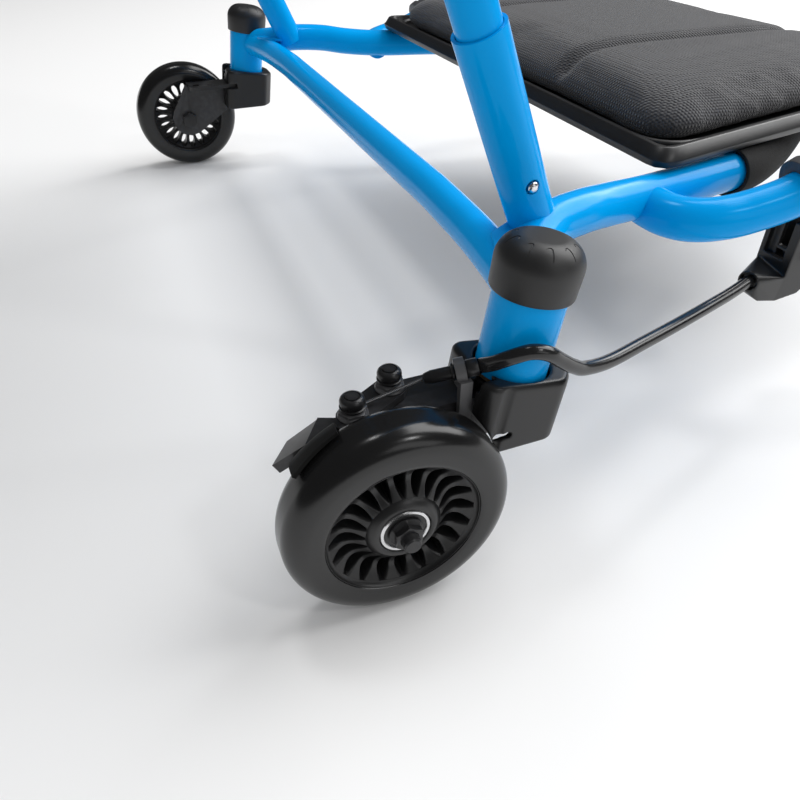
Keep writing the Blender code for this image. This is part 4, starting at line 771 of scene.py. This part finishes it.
for tag, side in SIDES.items():
    centre = WHEELS[tag][0]
    out = (0.0, float(side), 0.0)
    shank = [(0, -23), (3.9, -23), (3.9, 20.2), (3.3, 20.9), (0, 20.9)]
    bolt = [spun(shank, centre, out, 40), hex_skin(centre, out, 7.4, -27.5, -22.3)]
    piece(f"axle_{tag}", bolt, BLACK_STEEL, f"caster_{tag}", [f"axle_bolt_{tag}"], crease=28)
    nut = hex_skin(centre, out, 6.5, 12.3, 16.8, 4.1, 7.4)
    piece(f"nut_{tag}", [nut], BLACK_STEEL, f"caster_{tag}", [f"axle_nut_{tag}"], crease=28)


# Brake bolts on the right rear wheel: a pivot bolt and a pinch bolt, each with a flanged nut and a dome nut.
# Black coated steel; the inner wire is clamped between the flange and the plate at the pinch bolt.
PIVOT = (10.9, 33.6)
PINCH = (-9.4, 21.7)
PLATE_LOW = 84.8
PLATE_TOP = 88.3
BOLT_TALL = 9.8


def stacked_bolt(name, place, under, body, node):
    """A domed head below, a flanged hexagon on the plate, and a collared nut with a round shoulder above."""
    base = corner(-1, (*place, 0.0))
    seat = PLATE_TOP + 0.3
    head = [(0, under - 4.5), (4.6, under - 4.5), (5.5, under - 3.6), (5.5, under), (3.0, under)]
    head += [(3.0, seat + 1), (0, seat + 1)]
    dome = [
        (0, 2.6), (4.4, 2.8), (4.4, 4.4), (5.5, 4.5), (5.5, 4.9), (4.9, 5.2), (4.9, 5.9), (5.3, 6.3),
        (5.3, 7.6), (5.0, 8.5), (4.4, 9.2), (3.5, 9.6), (3.2, 9.2), (2.9, 9.2), (2.7, BOLT_TALL),
        (0, BOLT_TALL),
    ]
    dome = [(radius, seat + height) for radius, height in dome]
    piece(name, [spun(head, base, UP, 48), spun(dome, base, UP, 48)], BLACK_STEEL, body, [node], crease=28)
    flange = hex_skin(base, UP, 6.2, seat, seat + 3.2, 0.0, 6.5)
    piece(f"{name}_flange", [flange], GREY_STEEL, body, crease=28)


stacked_bolt("pivot_bolt_stack", PIVOT, 80.7, "caster_right", "pivot_bolt")
stacked_bolt("pinch_bolt_stack", PINCH, PLATE_LOW - 0.3, "brake_arm", "pinch_bolt")


# Brake cable: a black outer cable from the stop's adjuster over the front of the post to the lever's housing,
# and a bare stranded wire from the adjuster to the pinch bolt.
RING_CENTRE = corner(-1, (37.6, 21.4, 98.2))
RING_AXIS = np.array([0.947, -0.258, 0.193]) / np.linalg.norm([0.947, -0.258, 0.193])
CABLE_R = 3.25
CABLE_FREE_END = (91.0, 8.6, 93.6)
CABLE_ENTRY = (226.7, 54.4, 84.4)
CABLE_BEFORE_ENTRY = (209.4, 48.4, 83.8)
adjuster_wall = [
    (1.1, -15.5), (1.8, -15.5), (2.2, -15.1), (2.8, -12.6), (2.9, -12.2), (2.9, -3.7), (3.6, -3.7),
    (3.9, -3.4), (3.9, -2.8), (3.6, -2.5), (2.9, -2.5), (2.9, 2.5), (3.6, 2.5), (3.8, 2.8), (3.9, 7.1),
    (3.6, 7.6), (1.1, 7.6),
]
adjuster = spun(adjuster_wall, RING_CENTRE, RING_AXIS, 48, True)
piece("adjuster", [adjuster], BLACK_STEEL, "caster_right", ["cable_adjuster"])
JACKET = finish_of(
    "cable_jacket", (0.010, 0.010, 0.0105), (0.014, 0.014, 0.0145), (0.18, 0.24), 900.0, 0.006,
)
cable_start = RING_CENTRE + RING_AXIS * 7.9
cable_route = [
    (49.0, 13.4, 104.2), (53.0, 8.0, 109.4), (59.4, 4.2, 112.8), (66.5, 2.8, 111.2), (74.0, 4.0, 105.2),
    (82.4, 6.0, 98.6), CABLE_FREE_END, (108.4, 14.4, 88.9), (134.4, 24.0, 86.0), (160.8, 32.6, 84.7),
    (189.0, 41.6, 84.2), CABLE_BEFORE_ENTRY, CABLE_ENTRY,
]
cable_places = np.vstack([cable_start, cable_start + RING_AXIS * 1.6, corner(-1, cable_route)])
cable_line = spaced(curve_through(cable_places, 12), 1.0)
cable = piece("outer_cable", [tube(cable_line, CABLE_R, 40)], JACKET, None, ["cable_outer"])
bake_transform(cable)

STRANDS = finish_of(
    "wire_strand", (0.12, 0.12, 0.122), (0.22, 0.22, 0.225), (0.25, 0.35), 4000.0, 0.003,
    metal=0.8,
)
wire_start = corner(-1, (PINCH[0] + 6.6, PINCH[1] + 3.4, 90.1))
wire_end = RING_CENTRE - RING_AXIS * 15.8
wire_line = wire_start + (wire_end - wire_start) * np.linspace(0, 1, 120)[:, None]


def strand(line, radius, lobes, turns):
    """A twisted wire: radius (1 - 0.16 |sin|) round the line, the lobes turning as it goes."""
    side_way, rise = square_to((line[-1] - line[0]) / np.linalg.norm(line[-1] - line[0]))
    a = np.linspace(0, 2 * math.pi, lobes * 6, endpoint=False)[None, :]
    twist = np.linspace(0, turns * 2 * math.pi, len(line))[:, None]
    radii = radius * (1 - 0.16 * np.abs(np.sin((a * lobes) / 2)))
    ring = np.cos(a + twist)[..., None] * side_way + np.sin(a + twist)[..., None] * rise
    wall = line[:, None] + ring * radii[..., None]
    ends = np.repeat(line[[0, -1], None], wall.shape[1], axis=1)
    return skin(np.concatenate([ends[:1], wall, ends[1:]]))


wire = piece("inner_wire", [strand(wire_line, 0.8, 6, 7)], STRANDS, None, ["brake_wire"], crease=60)
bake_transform(wire)


# Foam sleeves on the side rails beside the seat: open-cell foam tube slid on, matt and speckled.
# The surface is pitted by two noises; each end is cut square.
FOAM = finish_of(
    "foam_sleeve", (0.002, 0.002, 0.002), (0.014, 0.014, 0.0145), (0.85, 0.95), 1300.0, 0.35, 1500.0
)
FOAM_BACK = 251.0
FOAM_FRONT = 431.0
for tag, side in SIDES.items():
    line = spaced(curve_through(corner(side, RAIL), 10), 1.5)
    forward = line[:, 0] - REAR_AXLE
    held = line[(forward > FOAM_BACK) & (forward < FOAM_FRONT)]
    piece(f"foam_{tag}", [bored_tube(held, 14.0, 11.7, 64)], FOAM, nodes=[f"rail_sleeve_{tag}"], rounding=0.7)


# Grip tubes and hand grips: a bent blue tube welded to each side rail rises forward beside the seat.
# A smooth black moulded grip with a collar at its lower end and a round closed top is pushed over it.
GRIP_ROUTE = [
    (181.4, 99.0, 119.4), (182.0, 90, 118.8), (184.0, 80, 118.6), (189.4, 71, 118.9), (199.6, 64.5, 120.0),
    (216, 60.3, 122.6), (242, 56, 130.3), (266, 53, 146), (300, 50.5, 176), (332, 48, 205),
]
GRIP_FOOT = 242.0
GRIP_R = 15.0
COLLAR = [(0.0, 11.4), (0.0, 16.4), (0.6, 17.0), (6.8, 17.0), (7.6, 16.6), (8.2, 15.3), (8.8, GRIP_R)]
GROOVE = [(-1.2, GRIP_R), (-0.6, 14.7), (0.0, 14.45), (0.6, 14.7), (1.2, GRIP_R)]
ROUND_TOP = [
    (-2.0, GRIP_R), (0.5, 14.7), (2.2, 13.6), (3.4, 11.6), (4.0, 8.5), (4.2, 4.0), (4.2, 0.0), (0.3, 0.0),
    (0.3, 11.4),
]
GRIP_BLACK = finish_of(
    "grip_rubber", (0.040, 0.040, 0.042), (0.055, 0.055, 0.058), (0.42, 0.52), 1800.0, 0.03,
    rub=0.2, rubbed=(0.09, 0.09, 0.09),
)


def bar_along(line, radii):
    """Rings along a line for each (distance, radius); past the line's end they go straight on."""
    reach = reach_along(line)
    stops, sizes = np.array(radii, float).T
    where = np.stack([np.interp(stops, reach, line[:, i]) for i in range(3)], 1)
    past = np.maximum(stops - reach[-1], 0)[:, None]
    where = where + (line[-1] - line[-4]) / np.linalg.norm(line[-1] - line[-4]) * past
    slopes = np.stack([np.interp(stops, reach, g) for g in np.gradient(line, axis=0).T], 1)
    slopes /= np.linalg.norm(slopes, axis=1)[:, None]
    return where[:, None] + ring_round(*square_to(slopes), 56) * sizes[:, None, None]


for tag, side in SIDES.items():
    bent = spaced(curve_through(corner(side, GRIP_ROUTE), 12), 1.2)
    piece(f"grip_tube_bent_{tag}", [tube(bent, RAIL_R)], BLUE, nodes=[f"grip_tube_{tag}"])
    held = bent[bent[:, 0] - REAR_AXLE > GRIP_FOOT]
    length = np.linalg.norm(np.diff(held, axis=0), axis=1).sum()
    grooves = [(at + step, radius) for at in np.arange(24.0, length - 18.0, 12.0) for step, radius in GROOVE]
    wall = COLLAR + grooves + [(length + step, radius) for step, radius in ROUND_TOP]
    grip = skin(bar_along(held, wall), True)
    piece(f"grip_{tag}", [grip], GRIP_BLACK, nodes=[f"hand_grip_{tag}"], crease=45)


# Lever housing and brake lever under the right grip: a moulded saddle clamped under the grip tube.
# The lever turns on a steel pin in the housing's slot; the cable enters low at the back.
LEVER_PIVOT = (262.0, 59.0, 92.0)
SADDLE_NEAR = 50.0
SADDLE_FAR = 72.0
block_side = [
    (247.8, 134), (247.8, 84), (246.5, 69.7), (262, 71.5), (272, 80), (275, 92), (272, 128), (262, 140),
]
boss_places = [
    (229.5, 50.4, 75.6), (233.5, 50.2, 72.6), (229.8, 60, 76.2), (234, 62, 72.8), (247, 50.1, 69.8),
    (249, 50.1, 84), (249, 71.6, 88), (249, 71.6, 70.5),
]


def hull_skin(points):
    """The smallest convex form round some places."""
    work = bmesh.new()
    for point in points:
        work.verts.new(point)
    bmesh.ops.convex_hull(work, input=work.verts)
    bmesh.ops.delete(work, geom=[v for v in work.verts if not v.link_faces], context="VERTS")
    work.verts.index_update()
    made = np.array([v.co[:] for v in work.verts]), [[v.index for v in face.verts] for face in work.faces]
    work.free()
    return made


grip_line = spaced(curve_through(corner(-1, GRIP_ROUTE), 12), 2.0)
pin = corner(-1, LEVER_PIVOT)
entry = corner(-1, CABLE_ENTRY)
entry_way = entry - corner(-1, CABLE_BEFORE_ENTRY)
entry_way /= np.linalg.norm(entry_way)
mouth = spun([(5.7, -0.8), (5.7, 0.0)], entry, entry_way, 32)[0]
block = upright_plate(-1, block_side, SADDLE_NEAR, SADDLE_FAR)
rooms = [
    tube(grip_line, 11.4),
    tube(grip_line[grip_line[:, 0] - REAR_AXLE > 238.0], 17.6),
    box_skin(-1, (205, 300), (30, 75), (132, 150)),
    box_skin(-1, (251, 300), (53.9, 64.1), (60, 140)),
    box_skin(-1, (240, 251.5), (63, 69), (92, 122)),
    box_skin(-1, (240, 251.5), (55.5, 63.2), (92, 97)),
    box_skin(-1, (240, 251.5), (55.5, 61.4), (98.8, 122)),
    rod(2.7, -30, 30, pin, (0, 1, 0), 32),
    tube(entry + entry_way * np.linspace(-14, 2.5, 8)[:, None], 4.6, 32),
]
piece(
    "lever_saddle", [block, hull_skin([*corner(-1, boss_places), *mouth])], PLASTIC,
    nodes=["brake_lever_housing"], cuts=rooms, soft=0.42, crease=180,
)

pin_wall = [(0, -12.6), (2.0, -12.6), (2.4, -12.2), (2.4, 12.2), (2.0, 12.6), (0, 12.6)]
piece("lever_pin_turned", [spun(pin_wall, pin, (0, 1, 0), 32)], BRIGHT, nodes=["lever_pin"])
pressed("lever_blade", "brake_lever", PLASTIC, "brake_lever", 1.6)


# Snap buttons: bright sprung pins that stand through both walls of a joint and hold it.
# Each has a flat foot inside the inner tube and a domed stem.
STEM_R = 2.5
DOME = 1.4


def button_skin(centre, way, surface_at):
    """A foot, a stem and a dome that ends 1.4 mm past the outer tube's surface."""
    top = surface_at + DOME
    a = np.linspace(0, math.pi / 2, 8)[:-1]
    dome = [(STEM_R * math.cos(b), top - DOME + DOME * math.sin(b)) for b in a]
    foot = [(0, 2.6), (4.2, 2.6), (4.4, 2.8), (4.4, 4.0), (4.2, 4.2), (STEM_R, 4.2)]
    return spun(foot + dome + [(0, top)], centre, way, 36)


for tag, side in SIDES.items():
    button = button_skin(riser_place(side, BUTTON_ALONG), button_way(side), RAIL_R)
    piece(f"button_{tag}", [button], BRIGHT, f"snap_button_{tag}", [f"snap_button_{tag}"])
piece("button_boom", [button_skin(BOOM_HOLE, UP, SOCKET_R)], BRIGHT, "snap_button_boom", ["snap_button_boom"])


# Seat shell: a moulded pan with a low rim, resting across the two sleeved rails.
# Its outline is a trapezium with round corners; the rim is carried round it.
SEAT_Z = 135.1
SEAT_BACK = 186.0
SEAT_FRONT = 430.0
SEAT_HALF_BACK = 209.5
SEAT_HALF_FRONT = 162.9
AROUND = 200


def even_outline(square, round_by):
    """Corners eased by round_by, then cut into even steps from the same starting place."""
    loop = eased(square, round_by, 16)
    loop = np.vstack([loop, loop[:1]])
    reach = reach_along(loop)
    stops = np.linspace(0, reach[-1], AROUND, endpoint=False)
    return np.stack([np.interp(stops, reach, loop[:, i]) for i in range(2)], 1)


def seat_outline(inset, round_by=14.0):
    """A trapezium with round corners, drawn in by inset, as even places (forward, sideways)."""
    slope = (SEAT_HALF_BACK - SEAT_HALF_FRONT) / (SEAT_FRONT - SEAT_BACK)
    back, front = SEAT_BACK + inset, SEAT_FRONT - inset
    tilt = math.hypot(1.0, slope)
    at_back = SEAT_HALF_BACK - slope * inset - inset * tilt
    at_front = SEAT_HALF_FRONT + slope * inset - inset * tilt
    square = [(back, -at_back), (front, -at_front), (front, at_front), (back, at_back)]
    return even_outline(square, max(round_by - inset, 3.0))


pan_profile = [
    (None, 0), (60, 0), (20, 0), (2.2, 0), (1.5, 0.2), (1.2, 0.8), (0.2, 3.4), (0.1, 3.9), (0.3, 4.4),
    (4.2, 9.7), (4.6, 9.95), (5.0, 10), (7.1, 10), (7.5, 9.8), (7.7, 9.4), (8.8, 4.6), (9.2, 4.1),
    (9.8, 4), (20, 4), (60, 4), (None, 4),
]
pan_rows = []
for inset, height in pan_profile:
    flat = seat_outline(0.0).mean(axis=0)[None].repeat(AROUND, 0) if inset is None else seat_outline(inset)
    pan_rows.append(np.column_stack([REAR_AXLE + flat[:, 0], flat[:, 1], np.full(AROUND, SEAT_Z + height)]))
piece("seat_pan", [skin(pan_rows)], PLASTIC, nodes=["seat_shell"], crease=60)


# Seat cushion: foam in a dark knitted cover, with two sewn channels and a piped edge, lying in the pan.
# It is blown up by a cloth simulation from a slightly smaller form; channels and piping come after it.
STITCH_PITCH = 2.4
STITCH_HEIGHT = 0.22
PAD_THICK = 21.0
CHANNEL_DEEP = 6.5
CHANNEL_WIDE = 6.0


def knit():
    """Group: the bumps of a knitted cover, the product of sine waves along pairs of axes summed."""
    group, given, out = new_group("knit", {"Place": "Vector", "Pitch": "Float"}, {"Height": "Float"})
    scaled = put(group, "VectorMath", links={0: given["Place"], "Scale": given["Pitch"]}, mode="SCALE")
    axes = put(group, "SeparateXYZ", links={0: scaled.outputs[0]}).outputs
    waves = [put(group, "Math", links={0: axes[axis]}, mode="SINE").outputs[0] for axis in "XYZ"]
    pairs = [{0: waves[0], 1: waves[1]}, {0: waves[1], 1: waves[2]}, {0: waves[2], 1: waves[0]}]
    products = [put(group, "Math", links=pair, mode="MULTIPLY").outputs[0] for pair in pairs]
    total = products[0]
    for product in products[1:]:
        total = put(group, "Math", links={0: total, 1: product}, mode="ADD").outputs[0]
    group.links.new(total, out["Height"])
    return group


FABRIC = finish_of(
    "seat_fabric", (0.018, 0.018, 0.021), (0.045, 0.045, 0.050), (0.75, 0.9), 2600.0, 0.02, 60.0
)
tree = FABRIC.node_tree
place = tree.nodes["Texture Coordinate"].outputs["Object"]
grained = tree.nodes["Bump"].outputs["Normal"]
stitch = put(tree, "Group", {"Pitch": 2 * math.pi / STITCH_PITCH * 1000}, {"Place": place}, knit())
bumps = {"Height": stitch.outputs["Height"], "Normal": grained}
knitted = put(tree, "Bump", {"Distance": STITCH_HEIGHT * 0.001}, bumps)
tree.links.new(knitted.outputs["Normal"], shader_of(FABRIC).inputs["Normal"])
shader_of(FABRIC).inputs["Sheen Weight"].default_value = 0.25
shader_of(FABRIC).inputs["Sheen Roughness"].default_value = 0.5


def pad_rows(outline_at, crown):
    """A closed pad lying flat: out from the middle of its back, round its side, which pulls in between the
    corners, and up over a crown. Heights are in millimetres over its back."""
    flat = outline_at(0.0)
    middle = flat.mean(axis=0)
    loops = [(middle + (flat - middle) * share, 0.0) for share in (0.0, 0.25, 0.5, 0.75, 0.93)]
    for inset, height in ((2.2, 0.4), (0.6, 2.0), (0.0, 0.22 * PAD_THICK), (0.0, 0.42 * PAD_THICK)):
        loops.append((outline_at(inset), height))
    for share in (0.99, 0.965, 0.93, 0.88, 0.8, 0.7, 0.55, 0.4, 0.2, 0.0):
        lift = 0.45 * PAD_THICK + (0.55 * PAD_THICK + crown) * (1 - share**5) ** 0.55
        loops.append((middle + (flat - middle) * share, lift))
    return np.array([np.column_stack([loop, np.full(AROUND, height)]) for loop, height in loops])


def places_of(mesh):
    """The places of a mesh as rows, in metres."""
    flat = np.zeros(len(mesh.vertices) * 3)
    mesh.vertices.foreach_get("co", flat)
    return flat.reshape(-1, 3)


def put_places(made, places):
    """Moves the piece's points to these places, in metres."""
    made.data.vertices.foreach_set("co", places.ravel())
    made.data.update()


def blown_up(made, most):
    """Cloth with air in it: twenty steps at pressure 4 without gravity, no point moving more than most mm."""
    remesh = made.modifiers.new("grid", "REMESH")
    remesh.mode = "VOXEL"
    remesh.voxel_size = 0.0045
    settled(made)
    rest = places_of(made.data)
    cloth = made.modifiers.new("air", "CLOTH")
    cloth.settings.use_pressure = True
    cloth.settings.uniform_pressure_force = 4.0
    cloth.settings.effector_weights.gravity = 0.0
    cloth.point_cache.frame_end = 20
    for step in range(1, 21):
        scene.frame_set(step)
    seen = made.evaluated_get(bpy.context.evaluated_depsgraph_get())
    move = places_of(seen.data) - rest
    scene.frame_set(1)
    made.modifiers.clear()
    far = np.linalg.norm(move, axis=1)[:, None]
    put_places(made, rest + move * np.minimum(1.0, most * 0.001 / np.maximum(far, 1e-9)))
    finer = made.modifiers.new("finer", "SUBSURF")
    finer.levels = finer.render_levels = 1
    settled(made)


def sewn(made, out, origin, lines, low=8.0, high=20.0):
    """Channels across the scooter's width: points are pushed in along -out by deep exp(-(distance to the
    line / wide)^2), growing from nothing at the height low over the back to all of it at high."""
    co = places_of(made.data) * 1000.0
    amount = np.clip(((co - origin) @ out - low) / (high - low), 0, 1)
    sideways = (co - origin) @ np.array([0.0, 1.0, 0.0])
    dip = sum(np.exp(-(((sideways - line) / CHANNEL_WIDE) ** 2)) for line in lines)
    put_places(made, (co - out[None, :] * (CHANNEL_DEEP * dip * amount)[:, None]) * 0.001)


def cushion(name, rows, node, out, origin, lines, lowest=None):
    """A padded piece: blown up, its back kept no lower than lowest, sewn and covered."""
    made = solid(name, [skin(rows)])
    blown_up(made, 5.0)
    if lowest is not None:
        places = places_of(made.data)
        places[:, 2] = np.maximum(places[:, 2], lowest * 0.001)
        put_places(made, places)
    sewn(made, out, origin, lines)
    finished(made, FABRIC, "frame", [node], crease=180)


def pad_outline(inset):
    """The seat cushion's outline inside the pan's rim."""
    return seat_outline(11.5 + inset, 42.0)


seat_low = SEAT_Z + 4.3
pad = pad_rows(pad_outline, 5.0)
pad[..., 0] += REAR_AXLE
pad[..., 2] += seat_low
up = np.array(UP)
cushion("seat_cushion", pad, "seat_pad", up, np.array([0.0, 0.0, seat_low]), (-78.0, 78.0), seat_low)

PIPING_R = 1.9
piping_line = np.column_stack([pad_outline(-1.5), np.full(AROUND, seat_low + 2.4)])
piping_line += np.array([REAR_AXLE, 0.0, 0.0])
piping_out = piping_line - piping_line.mean(axis=0)
piping_out /= np.linalg.norm(piping_out, axis=1)[:, None]
piping_turn = np.linspace(0, 2 * math.pi, 10, endpoint=False)
piping_rows = [piping_line + PIPING_R * (np.cos(a) * piping_out + np.sin(a) * up) for a in piping_turn]
piece("seat_piping", [skin(piping_rows, True)], RUBBER, crease=180)


# Backrest: a bent blue hoop that plugs into both risers, and its cushion between the legs.
# The hoop is one tube, bored for the snap buttons low in each leg; the cushion is made as the seat's is.
LEG_R = 9.3
LEG_BORE = 7.8
BACK_TOP = 392.0
HOOP_BEND = 52.0
top_along = (BACK_TOP - RISER_FOOT[2]) / RISER_LEAN[2]


def hoop_path():
    """Up one riser's line, round a quarter circle to the level top, and down the other."""
    halves = []
    for foot, inward in ((-1, 1.0), (1, -1.0)):
        crown = riser_place(foot, top_along)
        lean = crown - riser_place(foot, 0.0)
        lean /= np.linalg.norm(lean)
        across = np.array([0.0, inward, 0.0])
        centre = crown - lean * HOOP_BEND + across * HOOP_BEND
        a = np.radians(np.linspace(0, 90, 19))[:, None]
        bend = centre - across * HOOP_BEND * np.cos(a) + lean * HOOP_BEND * np.sin(a)
        straight = riser_place(foot, np.linspace(14.0, top_along - HOOP_BEND - 2.0, 40))
        halves.append(np.vstack([straight, bend]))
    return np.vstack([halves[0], halves[1][::-1]])


bores = []
for side in SIDES.values():
    bores.append(rod(LEG_BORE, 0, 73, riser_place(side, 0.0), riser_way(side), 48))
    bores.append(rod(2.8, 2, 22, riser_place(side, BUTTON_ALONG), button_way(side), 32))
hoop = tube(hoop_path(), LEG_R, 48, (1.0, 0.0, 0.0))
piece("backrest_hoop", [hoop], BLUE, nodes=["backrest_frame"], cuts=bores)

low_along = 118.0
high_along = top_along - LEG_R - 0.6
back_low = riser_place(-1, low_along)
back_half = HALF_TRACK - (RISER_FOOT[1] + RISER_LEAN[1] * low_along) - LEG_R - 0.3
back_up = riser_place(-1, high_along) - back_low
back_up = np.array([back_up[0], 0.0, back_up[2]]) / math.hypot(back_up[0], back_up[2])
back_out = np.array([back_up[2], 0.0, -back_up[0]])
back_origin = np.array([back_low[0], 0.0, back_low[2]]) - back_out * 12.0
back_height = high_along - low_along
back_flare = -RISER_LEAN[1] * back_height


def back_outline(inset):
    """The panel between the spreading legs, as (up, sideways) places drawn in by inset."""
    inset = inset + 1.6
    top, low, high = back_height - inset, back_half - inset, back_half + back_flare - inset
    return even_outline([(inset, -low), (top, -high), (top, high), (inset, low)], 44.0)


flat = pad_rows(back_outline, 3.0)
laid = back_origin + flat[..., :1] * back_up + flat[..., 1:2] * np.array([0.0, 1.0, 0.0])
laid = laid + flat[..., 2:] * back_out
channels = (-0.4 * back_half, 0.4 * back_half)
cushion("backrest_cushion", laid, "backrest_pad", back_out, back_origin, channels)


# Front boom: a straight tube pushed into the frame's socket and held by a snap button.
# The steering head is welded across its front end, with a bronze bush and the head bolt inside.
HEAD_X = 378.5
boom_back = REAR_AXLE + 484.0
boom_front = HEAD_X - 12.0
boom_wall = [(12.4, boom_back), (14.2, boom_back), (14.2, boom_front), (12.4, boom_front)]
boom = spun(boom_wall, (0, 0, BOOM_Z), (1, 0, 0), 64, True)
piece("boom", [boom], BLUE, nodes=["front_boom"], cuts=[rod(2.8, 5, 30, BOOM_HOLE, UP, 32)])
head_wall = [(8.8, 112.0), (17.0, 112.0), (17.0, 160.0), (8.8, 160.0)]
head = spun(head_wall, (HEAD_X, 0, 0), UP, 64, True)
piece("steering_head", [head], BLUE, nodes=["front_boom"], rounding=0.8)
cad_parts["head_bush"].material_slots[0].material = BRONZE
washer = [(0, 160.3), (11.0, 160.3), (11.0, 161.6), (10.7, 161.9), (0, 161.9)]
head_bolt = [
    rod(5.0, 103.6, 162.0, (HEAD_X, 0, 0), UP, 40),
    spun(washer, (HEAD_X, 0, 0), UP, 48),
    hex_skin((HEAD_X, 0, 0), UP, 8.6, 161.8, 167.0),
]
piece("head_bolt_stack", head_bolt, BLACK_STEEL, "fork", ["head_bolt"], crease=28)


# Fork, foot bar and pegs: two plate legs under a crown, with a round bar across its front for the feet.
# Painted blue as the frame; a ribbed rubber peg is pushed over each end of the bar.
pressed("fork_welded", "fork", BLUE, "fork", 0.8)
BAR_X = 353.5 + 62.0
PEG_END = 210.0
PEG_R = 16.0
peg_wall = [(0, 0), (11.5, 0), (14.6, 0.7), (15.6, 1.7), (PEG_R, 3.2)]
for rib in np.arange(8.0, 86.0, 6.5):
    peg_wall += [(PEG_R, rib), (15.1, rib + 0.7), (15.0, rib + 1.6), (15.9, rib + 2.3)]
peg_wall += [(PEG_R, 90.0), (15.2, 91.4), (14.0, 92.0), (11.3, 92.0), (11.3, 3.7), (0, 3.7)]
for tag, side in SIDES.items():
    peg = spun(peg_wall, (BAR_X, side * PEG_END, 107.0), (0, -side, 0), 64)
    piece(f"peg_{tag}", [peg], RUBBER, "fork", [f"foot_peg_{tag}"], crease=40)
centre = WHEELS["front"][0]
shank = [(0, -22.5), (3.8, -22.5), (3.8, 20.8), (3.2, 21.5), (0, 21.5)]
front_axle = [spun(shank, centre, (0, -1, 0), 40), hex_skin(centre, (0, -1, 0), 7.4, -27.0, -21.8)]
piece("axle_front", front_axle, BLACK_STEEL, "fork", ["axle_bolt_front"], crease=28)
